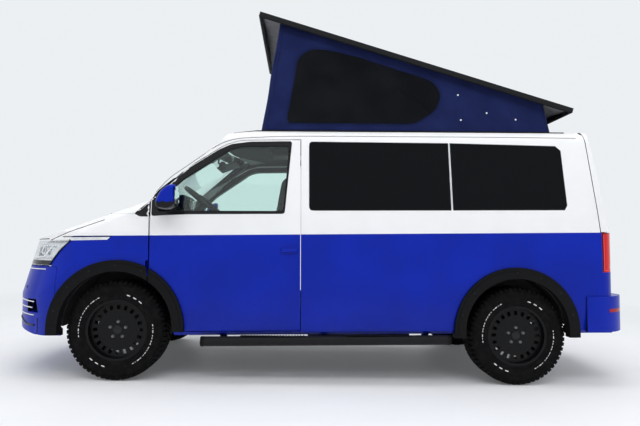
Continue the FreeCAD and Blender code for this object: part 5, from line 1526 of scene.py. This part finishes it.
def tailgate_trim(gate, glass_skin):
    """Handle strip with the blank plate, glass surround, wiper and high lamp."""
    def shell_plate(outline, lift, depth):
        return end_plate(gate, outline, [], lift, depth, -1, 60.0)

    piece("rear_plate_surround", shell_plate(oblong(-290, 290, 902, 1040, 16), 1.5, 8.0), TRIM_FINE,
          body="tailgate_door")
    piece("rear_plate", shell_plate(oblong(-260, 260, 912, 1023, 7), 3.4, 2.0), PLATE, body="tailgate_door")
    piece("tailgate_handle", shell_plate(oblong(-250, 250, 1048, 1082, 12), 16.0, 20.0), BODY,
          body="tailgate_door")
    lamps = [shell_plate(oblong(y - 24, y + 24, 1041, 1047, 2), 12.0, 12.0) for y in (-140, 140)]
    piece("plate_lamps", joined(lamps), CLEAR_LENS, body="tailgate_door")
    piece("high_brake_lamp", shell_plate(oblong(-150, 150, 1856, 1872, 6), 3.0, 8.0), RED,
          body="tailgate_door")
    outer = oblong(-716, 716, 1262, 1826, 46, 6)
    hole = oblong(-684, 684, 1296, 1794, 30, 6)
    place = end_place(Skin(["tailgate", "tailgate_glass"]), 3.2, -1)
    piece("rear_glass_surround", filled(outer, [hole], place, 6.0, 26.0), PIANO, body="tailgate_door")
    arm_place = end_place(glass_skin, 20.0, -1)
    arm = swept(arm_place, (-20.0, 1318.0), (-230.0, 40.0), 6.0, 12)
    blade = swept(end_place(glass_skin, 8.0, -1), (-60.0, 1334.0), (-380.0, 66.0), 4.0, 16)
    hub = spun([(-0.022, 0.024), (0.006, 0.024), (0.010, 0.018), (0.011, 0.0)], 24,
               arm_place(-10.0, 1316.0, 0.0), (-1, 0, 0.2))
    piece("rear_wiper", joined([tube(arm, 0.0062, 8), tube(blade, 0.0050, 8), hub]), TRIM_FINE, 40.0,
          body="tailgate_door")


STEP_HALF, STEP_REAR, STEP_FRONT = 640.0, -2420.0, -2322.0
STEP_LOW, STEP_HIGH, STEP_SLOPE = 560.0, 640.0, 80.0 / 90.0


def step_plate(skin):
    """Ribbed plate over the sloping edge of the rear bumper."""
    rows = []
    for k in range(73):
        y = STEP_HALF * (2 * k / 72 - 1)
        hit = skin.hit(lv(-3000, y, 540), lv(-1500, y, 540))
        first = max(STEP_REAR, unlevel(hit)[0])
        row = []
        for j in range(25):
            x = first + (STEP_FRONT - first) * j / 24
            z = min(STEP_HIGH, STEP_LOW + (x - STEP_REAR) * STEP_SLOPE)
            rib = 1.6 * max(0.0, math.sin(2 * math.pi * j / 6)) if 2 < j < 23 and 2 < k < 70 else 0.0
            row.append(lv(x - 0.66 * (1.2 + rib), y, z + 0.75 * (1.2 + rib)))
        rows.append(row)
    plate = piece("rear_step_plate", grid(rows), TRIM, 50.0, body=None)
    modified(plate, "SOLIDIFY", thickness=0.004, offset=0.0)
    apply_modifiers(plate)
    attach(plate, "van_body")
    piece("boot_sill", slab(lv(-2316, -430, 600), lv(-2236, 430, 650), 0.006), TRIM, 35.0, slot="dark_trim")


def tail_details():
    tail_lamps(Skin(["tail_lamps", "left_side", "tailgate"]))
    bumper = Skin(["rear_bumper"])
    bumper_reflectors(bumper)
    step_plate(bumper)
    tailgate_trim(Skin(["tailgate"]), Skin(["tailgate_glass"]))
    spots = [(y, 0.3 * y / 620.0) for y in (-620.0, -220.0, 220.0, 620.0)]
    sensors(bumper, "rear_sensors", -1, 500.0, spots)


# ---- cabin: padded seats, dashboard details, furniture ------------------
SEAT_X, SEAT_Y, BENCH_X, BENCH_Y = 560.0, 430.0, -1180.0, -120.0
CUSHION = ((-238, 912), (248, 918), (248, 1004), (-238, 998))
BACKREST = ((-244, 1012), (-142, 1012), (-252, 1592), (-346, 1592))
HEADREST = ((-350, 1606), (-262, 1606), (-280, 1772), (-346, 1772))
SIM_FRAMES, VOXEL = 20, 0.010
SEAT_WIDTH, BENCH_WIDTH, REST_WIDTH, REST_PITCH = 496.0, 1036.0, 250.0, 330.0
# distance in from a pad's side, and how far its outline is pulled in there
PAD_EDGE = ((0.0, 26.0), (3.0, 12.0), (12.0, 4.0), (26.0, 0.0))
STITCH, CORD_R = 0.0055, 0.0027
PAD_CAP, REST_CAP, PAD_FILL, REST_FILL = 0.024, 0.020, 0.75, 0.8


def padded_start(profile, x, y, width, slim):
    """Rounded block, smaller than its space by slim, from a side profile and a width."""
    ring = outline_even(rounded(inset([(px + x, pz) for px, pz in profile], slim), 34.0, 6), 72)
    half = width / 2 - slim
    places = [(off - half, pulled) for off, pulled in PAD_EDGE]
    places += [(share * (half - PAD_EDGE[-1][0]), 0.0) for share in np.linspace(-0.9, 0.9, 15)]
    places += [(half - off, pulled) for off, pulled in reversed(PAD_EDGE)]
    rows = [[lv(px, y + off, pz) for px, pz in inset(ring, pulled)] for off, pulled in places]
    return grid(rows, closed_u=True, caps=True)


def inflate(obj, cap, pressure):
    """Blows the pad up as cloth; no point may move further than the cap."""
    start = [v.co.copy() for v in obj.data.vertices]
    cloth = obj.modifiers.new("cloth", "CLOTH")
    cloth.settings.quality = 4
    cloth.settings.mass = 0.25
    cloth.settings.use_pressure = True
    cloth.settings.uniform_pressure_force = pressure
    cloth.settings.effector_weights.gravity = 0.0
    cloth.point_cache.frame_end = SIM_FRAMES
    scene = bpy.context.scene
    for number in range(1, SIM_FRAMES + 1):
        scene.frame_set(number)
    blown = obj.evaluated_get(bpy.context.evaluated_depsgraph_get()).data
    moved = [v.co.copy() for v in blown.vertices]
    obj.modifiers.remove(cloth)
    scene.frame_set(1)
    for v, a, b in zip(obj.data.vertices, start, moved):
        step = b - a
        v.co = a + step * min(1.0, cap / max(step.length, 1e-9))
    obj.data.update()


def sewn(obj, lines, across, normal, depth, reach):
    """Presses sewn channels into the side of a pad that faces along normal.

    Each line is a point; the channel runs along the y axis through it. across is the direction
    in which the lines follow each other; reach holds the middle y and the half length.
    """
    obj.data.update()
    middle, half = reach
    normals = [v.normal.copy() for v in obj.data.vertices]
    for v, n in zip(obj.data.vertices, normals):
        facing = n.dot(normal)
        if facing < 0.35:
            continue
        y = 1000 * v.co.y
        end = min(1.0, max(0.0, (half - abs(y - middle)) / 18.0))
        sunk = sum(math.exp(-((v.co - Vector(p)).dot(across) / 0.0075) ** 2) for p in lines)
        for edge in (-half, half):
            sunk += 0.8 * math.exp(-((y - middle - edge) / 7.5) ** 2)
        v.co -= normal * depth * min(1.0, sunk) * facing * (end if abs(y - middle) < half else
                                                            1.0 if abs(abs(y - middle) - half) < 20 else 0.0)


def piping(obj, path):
    """Cord sewn along a closed path laid on the nearest points of a pad."""
    tree = tree_of([obj.data])
    found = []
    for p in path:
        place, normal, _, _ = tree.find_nearest(p)
        found.append(place + normal * CORD_R * 0.4)
    return tube(found, CORD_R, 6, closed=True)


def make_pad(name, profile, x, y, width, cap, materials):
    """One pad: a rounded block blown up as cloth and subdivided."""
    made = padded_start(profile, x, y, width, 11.0)
    obj = piece(name, made, materials[0], 60.0, body=None)
    obj.data.materials.append(materials[1])
    modified(obj, "REMESH", mode="VOXEL", voxel_size=VOXEL)
    apply_modifiers(obj)
    inflate(obj, cap, 4.0)
    modified(obj, "SUBSURF", levels=1, render_levels=1)
    apply_modifiers(obj)
    for polygon in obj.data.polygons:
        polygon.use_smooth = True
    return obj


def ring_on_pad(profile, x, y, width, share):
    """Closed path round a pad at a share of the way through its thickness."""
    ring = outline_even(rounded([(px + x, pz) for px, pz in profile], 40.0, 6), 90)
    return [lv(px, y + share * width / 2, pz) for px, pz in ring]


def seat_pads(prefix, x, y, width):
    """Cushion, backrest and head restraints of one seat or bench."""
    pads = []
    cushion = make_pad(f"{prefix}_cushion", CUSHION, x, y, width, PAD_CAP, (SEAT, SEAT_SIDE))
    half = width / 2 - 105.0
    lines = [lv(x - 130 + 75 * k, y, 1000) for k in range(5)]
    sewn(cushion, lines, Vector((1, 0, 0)), Vector((0, 0, 1)), STITCH, (y, half))
    back = make_pad(f"{prefix}_backrest", BACKREST, x, y, width, PAD_CAP, (SEAT, SEAT_SIDE))
    upward = (lv(-252, 0, 1592) - lv(-142, 0, 1012)).normalized()
    front = Vector((upward.z, 0, -upward.x))
    lines = [lv(x - 142 - 110 * t, y, 1012 + 580 * t) for t in (0.16, 0.30, 0.44, 0.58, 0.72)]
    sewn(back, lines, upward, front, STITCH, (y, half))
    for pad in (cushion, back):
        for polygon in pad.data.polygons:
            if abs(1000 * polygon.center.y - y) > half:
                polygon.material_index = 1
        pads.append((pad, PAD_FILL))
    cords = [piping(pad, ring_on_pad(profile, x, y, width, share)) for pad,
             profile in ((cushion, CUSHION), (back, BACKREST)) for share in (-0.93, 0.93)]
    piece(f"{prefix}_piping", joined(cords), SEAT_SIDE, 60.0)
    places = [y] if width < 600 else [y - REST_PITCH, y, y + REST_PITCH]
    posts = []
    for number, at in enumerate(places):
        rest = make_pad(f"{prefix}_headrest_{number + 1}", HEADREST, x, at, REST_WIDTH, REST_CAP,
                        (SEAT_SIDE, SEAT))
        pads.append((rest, REST_FILL))
        for off in (-62.0, 62.0):
            posts.append(tube([lv(x - 300, at + off, 1570), lv(x - 306, at + off, 1640)], 0.006, 10))
    piece(f"{prefix}_headrest_posts", joined(posts), CHROME, 60.0)
    for pad, fill in pads:
        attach(pad, "van_body")
    return pads[0][0]


def seat_copy(part):
    """The same part of the seat on the other side."""
    source = bpy.data.objects[f"left_seat_{part}"].data
    made = [v.co - Vector((0, 2 * SEAT_Y / 1000, 0)) for v in source.vertices]
    obj = piece(f"right_seat_{part}", (made, [tuple(p.vertices) for p in source.polygons]),
                list(source.materials), 60.0)
    for polygon, old in zip(obj.data.polygons, source.polygons):
        polygon.material_index = old.material_index
    return obj


def seats():
    """Front seats, the bench, and their bases, rails and recliners."""
    first = seat_pads("left_seat", SEAT_X, SEAT_Y, SEAT_WIDTH)
    for part, fill in (("cushion", PAD_FILL), ("backrest", PAD_FILL), ("headrest_1", REST_FILL)):
        seat_copy(part)
    seat_copy("piping")
    seat_copy("headrest_posts")
    bench = seat_pads("bench", BENCH_X, BENCH_Y, BENCH_WIDTH)
    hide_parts("front_seats")
    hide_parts("rear_bench")
    shells, rails, recliners = [], [], []
    for x, y, half in ((SEAT_X, SEAT_Y, 205.0), (SEAT_X, -SEAT_Y, 205.0), (BENCH_X, BENCH_Y, 480.0)):
        shells.append(slab(lv(x - 215, y - half, 548), lv(x + 205, y + half, 872), 0.030))
        shells.append(slab(lv(x - 238, y - half - 25, 866), lv(x + 238, y + half + 25, 908), 0.014))
        for way in (-1, 1):
            rails.append(slab(lv(x - 230, y + way * half * 0.86 - 16, 536.5),
                              lv(x + 230, y + way * half * 0.86 + 16, 552), 0.003))
            at = lv(x - 196, y + way * (half + 26), 1000)
            recliners.append(lathe([(-0.012, 0.052), (0.010, 0.052), (0.016, 0.046), (0.018, 0.020),
                                    (0.018, 0.0)], at, "y", 28))
    piece("seat_bases", joined(shells), CABIN, 35.0)
    piece("seat_rails", joined(rails), STEEL)
    piece("seat_recliners", joined(recliners), CABIN, 35.0)


def dashboard_details():
    """Instruments under the hood, screen, vents, lever and pedals."""
    dark, bright = [], []
    dark.append(slab(lv(1086, 268, 1316), lv(1100, 572, 1396), 0.003))
    for y in (350.0, 490.0):
        bright.append(lathe([(-0.003, 0.044), (-0.006, 0.044), (-0.006, 0.040), (-0.003, 0.040)],
                            lv(1086, y, 1356), "x", 32, closed=True))
    dark.append(slab(lv(1058, -125, 1196), lv(1078, 125, 1300), 0.004))
    for y in (-720.0, -185.0, 185.0, 720.0):
        bright.append(slab(lv(1066, y - 42, 1216), lv(1080, y + 42, 1220), 0.001))
        for k in range(6):
            dark.append(slab(lv(1064, y - 42, 1226 + 11 * k), lv(1084, y + 42, 1230 + 11 * k), 0.001))
    for y in (-60.0, 0.0, 60.0):
        dark.append(lathe([(0.020, 0.020), (-0.006, 0.020), (-0.010, 0.017), (-0.010, 0.0)],
                          lv(1086, y, 1140), "x", 24))
    piece("dashboard_screens", joined(dark), PIANO)
    piece("vent_lines", joined(bright), ALLOY)
    knob = [(0.050 * math.cos(math.pi * t), 0.026 * math.sin(math.pi * t)) for t in shares(10)]
    lever = [tube([lv(1090, 60, 1010), lv(1050, 50, 1045), lv(1030, 45, 1090)], [0.010, 0.008, 0.008]),
             lathe(knob, lv(1026, 44, 1115), "z", 20),
             slab(lv(1050, -30, 960), lv(1180, 130, 1020), 0.020)]
    piece("gear_lever", joined(lever), CABIN, 40.0)
    pedals = [slab(lv(1180, y - 30, 690), lv(1192, y + 30, 760), 0.004) for y in (330.0, 430.0, 510.0)]
    pedals += [tube([lv(1190, y, 740), lv(1230, y, 860), lv(1240, y, 930)], 0.008, 8)
               for y in (330.0, 430.0, 510.0)]
    piece("pedals", joined(pedals), STEEL_DARK, 40.0)
    wheel_trim()


def wheel_trim():
    """Padded ring and hub cover of the steering wheel."""
    centre, tilt = Vector((985.0, 420.0, 1385.0)), math.radians(38.0)

    def at(along, across, up):
        x = along * math.cos(tilt) - up * math.sin(tilt)
        z = along * math.sin(tilt) + up * math.cos(tilt)
        return lv(centre.x + x, centre.y + across, centre.z + z)

    rim = [at(185 * math.cos(a), 185 * math.sin(a), 0) for a in turns(72)]
    pad = []
    for height, share in ((6, 1.0), (18, 0.97), (26, 0.86), (29, 0.55), (30, 0.1)):
        pad.append([at(a, b, height) for a, b in bulged(40, 76 * share, 70 * share, 0.7, 0.7)])
    cover = grid(pad, closed_u=True, caps=True)
    piece("steering_wheel_cover", joined([tube(rim, 0.0168, 14, closed=True), cover]), CABIN, 40.0)


def cabin_top():
    """Inside mirror and sun visors."""
    ring = bulged(36, 125.0, 34.0, 0.6, 0.7)
    rows = []
    for x, share in ((908, 0.80), (902, 0.95), (890, 1.0), (882, 0.97), (881, 0.90)):
        rows.append([lv(x - 0.3 * b, a * share, 1742 + b * share) for a, b in ring])
    stem = tube([lv(905, 0, 1748), lv(930, 0, 1768), lv(925, 0, 1800)], 0.008)
    made = [grid(rows, closed_u=True, caps=True), stem]
    piece("inside_mirror", joined(made), CABIN, 40.0)
    visors = []
    for side in (-1, 1):
        low, high = lv(800, side * 400 - 200, 1806), lv(975, side * 400 + 200, 1822)
        verts, faces = slab(low, high, 0.007)
        lean_verts = [Vector((v.x, v.y, v.z - 0.38 * (v.x - low.x))) for v in verts]
        visors.append((lean_verts, faces))
    piece("sun_visors", joined(visors), CABIN_LIGHT)


def kitchen_details():
    """Fronts, pulls, worktop, hob and sink of the kitchen."""
    fronts, pulls = [], []
    for x0, x1, z0, z1 in ((-988, -660, 570, 1236), (-654, -330, 570, 890), (-654, -330, 896, 1236),
                           (-324, 50, 570, 780), (-324, 50, 786, 1000), (-324, 50, 1006, 1236)):
        fronts.append(slab(lv(x0, 405, z0), lv(x1, 419.5, z1), 0.003))
        middle = (x0 + x1) / 2
        pulls.append(tube([lv(middle - 60, 404, z1 - 40), lv(middle - 60, 392, z1 - 40),
                           lv(middle + 60, 392, z1 - 40), lv(middle + 60, 404, z1 - 40)], 0.004, 8))
    piece("kitchen_fronts", joined(fronts), BOARD)
    piece("kitchen_pulls", joined(pulls), ALLOY, 40.0)
    top = slab(lv(-1004, 404, 1277), lv(64, 800, 1283), 0.002)
    piece("kitchen_worktop", top, WORKTOP)
    hob = [slab(lv(-300, 450, 1282), lv(20, 730, 1287), 0.003)]
    for x in (-215.0, -70.0):
        for radius in (0.052, 0.030):
            ring = [lv(x, 590, 1290) + Vector((radius * math.cos(a), radius * math.sin(a), 0))
                    for a in turns(32)]
            hob.append(tube(ring, 0.004, 8, closed=True))
    piece("kitchen_hob", joined(hob), STEEL_DARK, slot="black_metal")
    bowl = [(0.004, 0.150), (0.006, 0.142), (0.001, 0.134), (-0.0005, 0.10), (-0.0008, 0.0)]
    spout = smooth_path([lv(-640, 770, 1284), lv(-640, 770, 1400), lv(-640, 740, 1440),
                         lv(-640, 690, 1425)], 8)
    sink = [lathe([(a + 0.0035, r) for a, r in bowl], lv(-640, 600, 1282), "z"), tube(spout, 0.009, 12)]
    piece("kitchen_sink", joined(sink), STEEL)


def cabin():
    seats()
    dashboard_details()
    cabin_top()
    kitchen_details()


# ---- underbody: exhaust, springs, brakes, shafts ------------------------
def coil(centre, radius, height, rounds, wire):
    """Spring of round wire that rises from centre."""
    around = [(2 * math.pi * rounds * t, height * t) for t in shares(14 * rounds)]
    return tube([centre + Vector((radius * math.cos(a), radius * math.sin(a), z)) for a, z in around],
                wire, 8)


def brakes():
    """Brake discs that turn with the wheels."""
    for corner, (x, side) in WHEELS.items():
        inner = TRACK_Y - 0.034
        profile = [(-0.010, 0.040), (-0.010, 0.121), (-0.007, 0.125), (0.003, 0.125), (0.006, 0.121),
                   (0.006, 0.084), (0.020, 0.080), (0.020, 0.040)]
        disc = lathe(profile, (x, side * inner, AXLE_Z), "y", 56, way=side)
        piece(f"{corner}_brake_disc", disc, STEEL, body=f"{corner}_wheel")


def springs():
    """Coil springs and dampers of the rear axle."""
    struts, wires = [], []
    for side in (-1, 1):
        foot = Vector((-1.576, side * 0.560, 0.410))
        wires.append(coil(Vector((-1.395, side * 0.560, 0.385)), 0.052, 0.125, 4, 0.0065))
        rod = ((-0.090, 0.0), (-0.090, 0.024), (0.050, 0.024), (0.052, 0.010), (0.120, 0.010), (0.120, 0.0))
        struts.append(spun(rod, 20, foot, (-0.01, 0, 0.07)))
    piece("rear_springs", joined(wires), STEEL_DARK, 60.0, slot="chassis_steel")
    piece("rear_dampers", joined(struts), CAST, 35.0)


def exhaust():
    """Front pipe with its silencer and clamps, and the tail pipe."""
    path = smooth_path([lv(1520, -120, 330), lv(1300, -180, 302), lv(900, -240, 296), lv(300, -240, 296),
                        lv(-500, -300, 296), lv(-1000, -420, 300)], 8)
    tail = smooth_path([lv(-1760, -480, 330), lv(-1900, -560, 322), lv(-2060, -640, 330),
                        lv(-2170, -660, 336)], 8)
    box = [(0.0, 0.0), (0.0, 0.050), (0.012, 0.078), (0.030, 0.084), (0.390, 0.084), (0.408, 0.078),
           (0.42, 0.050), (0.42, 0.0)]
    clamp = ((-0.006, 0.026), (-0.006, 0.046), (0.006, 0.046), (0.006, 0.026))
    spots = lv(1200, -195, 301), lv(120, -248, 296), lv(-700, -345, 297)
    body = spun(box, 32, lv(700, -240, 306), (-1, 0, 0))
    rings = [spun(clamp, 6, at, (1, 0, 0)) for at in spots]
    piece("exhaust", joined([tube(path, 0.025, 14), tube(tail, 0.027, 14), body] + rings), EXHAUST, 40.0)


def tank_and_lines():
    """Fuel tank, brake lines and drive shafts."""
    tank = slab(lv(-700, 120, 262), lv(120, 640, 346), 0.030)
    ribs = [slab(lv(-640 + 160 * k, 130, 256), lv(-600 + 160 * k, 630, 264), 0.003) for k in range(5)]
    piece("fuel_tank", joined([tank] + ribs), TRIM, 35.0, slot="dark_trim")
    lines = []
    for k in range(3):
        y = 690.0 + 14 * k
        lines.append(tube(smooth_path([lv(1040, y, 330), lv(400, y, 332), lv(-400, y, 332),
                                       lv(-980, y - 10, 334)], 6), 0.0035, 8))
    piece("brake_lines", joined(lines), STEEL, 60.0)
    shafts = []
    for label, side in reversed(SIDES):
        bar = tube([Vector((1.544, side * 0.300, 0.372)), Vector((1.544, side * 0.662, 0.368))], 0.014, 14)
        stub = tube([Vector((1.544, side * 0.673, 0.368)), Vector((1.544, side * 0.698, 0.368))], 0.014, 14)
        piece(f"{label}_shaft_stub", stub, STEEL_DARK, 35.0, body=f"{label}_knuckle")
        boot = [(0.0, 0.020), (0.010, 0.040), (0.020, 0.034), (0.030, 0.042), (0.040, 0.034), (0.050, 0.040),
                (0.060, 0.028), (0.070, 0.016)]
        boots = [lathe(boot, (1.544, side * 0.560, 0.370), "y", 24, way=-side),
                 lathe(boot, (1.544, side * 0.330, 0.372), "y", 24, way=side)]
        shafts += [bar] + boots
    piece("drive_shafts", joined(shafts), STEEL_DARK, 35.0)


def underbody():
    brakes()
    springs()
    exhaust()
    tank_and_lines()


# ---- floor, light and camera --------------------------------------------
def camera():
    """Camera turned by its yaw, pitch and roll."""
    data = bpy.data.cameras.new("camera")
    data.lens, data.sensor_width = LENS_MM, 36.0
    obj = bpy.data.objects.new("camera", data)
    bpy.context.scene.collection.objects.link(obj)
    right, ahead, up = Vector((-1, 0, 0)), Vector((0, -1, 0)), Vector((0, 0, 1))
    ahead, right = (ahead * math.cos(YAW) + right * math.sin(YAW),
                    right * math.cos(YAW) - ahead * math.sin(YAW))
    ahead, up = (ahead * math.cos(PITCH) + up * math.sin(PITCH),
                 up * math.cos(PITCH) - ahead * math.sin(PITCH))
    right, up = (right * math.cos(ROLL) + up * math.sin(ROLL),
                 up * math.cos(ROLL) - right * math.sin(ROLL))
    turn = Matrix((right, up, -ahead)).transposed().to_4x4()
    obj.matrix_world = Matrix.Translation(CAMERA_AT) @ turn
    bpy.context.scene.camera = obj


def area(name, at, toward, size, power):
    """Rectangular light that faces a point and is not seen in reflections."""
    data = bpy.data.lights.new(name, "AREA")
    data.shape = "RECTANGLE"
    data.size, data.size_y = size
    data.energy = power
    obj = bpy.data.objects.new(name, data)
    bpy.context.scene.collection.objects.link(obj)
    obj.visible_glossy = False
    at = Vector(at)
    obj.matrix_world = (Matrix.Translation(at)
                        @ (Vector(toward) - at).to_track_quat("-Z", "Y").to_matrix().to_4x4())


BACKDROP, FLOOR = (0.838, 0.868, 0.895), (0.885, 0.890, 0.902)
FADE_START, FADE_END, FLOOR_HALF, FLOOR_Z = 3.4, 8.0, 60.0, -0.0015


def seen_directly(tree):
    """1 for camera, mirror and transmitted rays, 0 for light that falls on the object."""
    path = tree.nodes.new("ShaderNodeLightPath")
    last = None
    for ray in ("Is Camera Ray", "Is Glossy Ray", "Is Transmission Ray"):
        if last is None:
            last = path.outputs[ray]
            continue
        node = tree.nodes.new("ShaderNodeMath")
        node.operation = "MAXIMUM"
        tree.links.new(last, node.inputs[0])
        tree.links.new(path.outputs[ray], node.inputs[1])
        last = node.outputs[0]
    return last


def pale_world():
    world = bpy.data.worlds.new("studio")
    bpy.context.scene.world = world
    world.use_nodes = True
    tree = world.node_tree
    lit = tree.nodes["Background"]
    lit.inputs[0].default_value = (0.93, 0.96, 1.0, 1.0)
    lit.inputs[1].default_value = 0.50
    seen = tree.nodes.new("ShaderNodeBackground")
    seen.inputs[0].default_value = (*BACKDROP, 1.0)
    seen.inputs[1].default_value = 1.0
    mixed = tree.nodes.new("ShaderNodeMixShader")
    tree.links.new(seen_directly(tree), mixed.inputs[0])
    tree.links.new(lit.outputs[0], mixed.inputs[1])
    tree.links.new(seen.outputs[0], mixed.inputs[2])
    tree.links.new(mixed.outputs[0], tree.nodes["World Output"].inputs[0])


def floor():
    """Pale floor that fades into the backdrop and keeps the object's shadow."""
    s = Shade("studio_floor", rough=0.5, **{"Specular IOR Level": 0.1})
    s.set(s.bsdf, {"Base Color": worn(s, FLOOR, 0.010, 1.3)})
    glow = s.add("ShaderNodeEmission", {"Color": BACKDROP, "Strength": 1.0})
    far = s.add("ShaderNodeVectorMath", {0: s.place}, operation="LENGTH").outputs["Value"]
    fade = s.range(far, FADE_START, FADE_END, 0.08, 1.0)
    share = s.math("MULTIPLY", fade, seen_directly(s.tree))
    mixed = s.add("ShaderNodeMixShader", {0: share, 1: s.bsdf.outputs[0], 2: glow.outputs[0]})
    s.tree.links.new(mixed.outputs[0], s.tree.nodes["Material Output"].inputs[0])
    r = FLOOR_HALF
    verts = [Vector((x, y, FLOOR_Z)) for x, y in ((-r, -r), (r, -r), (r, r), (-r, r))]
    obj = piece("studio_floor", (verts, [(0, 1, 2, 3)]), s.material, body=None)


# name, place, the point it faces, width and depth, and power of each area light
LIGHTS = (
    ("roof_light", (0.0, 0.6, 6.5), (0.0, 0.0, 0.8), (8.0, 3.5), 195.0),
    ("side_light", (0.3, 5.6, 5.6), (0.0, 0.6, 1.0), (8.0, 1.6), 195.0),
    ("nose_light", (7.5, 2.5, 3.6), (2.0, 0.0, 1.0), (3.0, 3.0), 60.0),
    ("tail_light", (-7.5, 2.5, 3.6), (-2.0, 0.0, 1.0), (3.0, 3.0), 105.0),
    ("back_light", (0.0, -6.5, 4.6), (0.0, 0.0, 1.0), (7.0, 1.6), 150.0),
)


def studio():
    camera()
    pale_world()
    floor()
    for light in LIGHTS:
        area(*light)
    bpy.context.scene.view_settings.view_transform = "Standard"


def main():
    dress_all()
    wheels()
    raised_roof()
    sides()
    nose_details()
    tail_details()
    cabin()
    underbody()
    studio()


main()
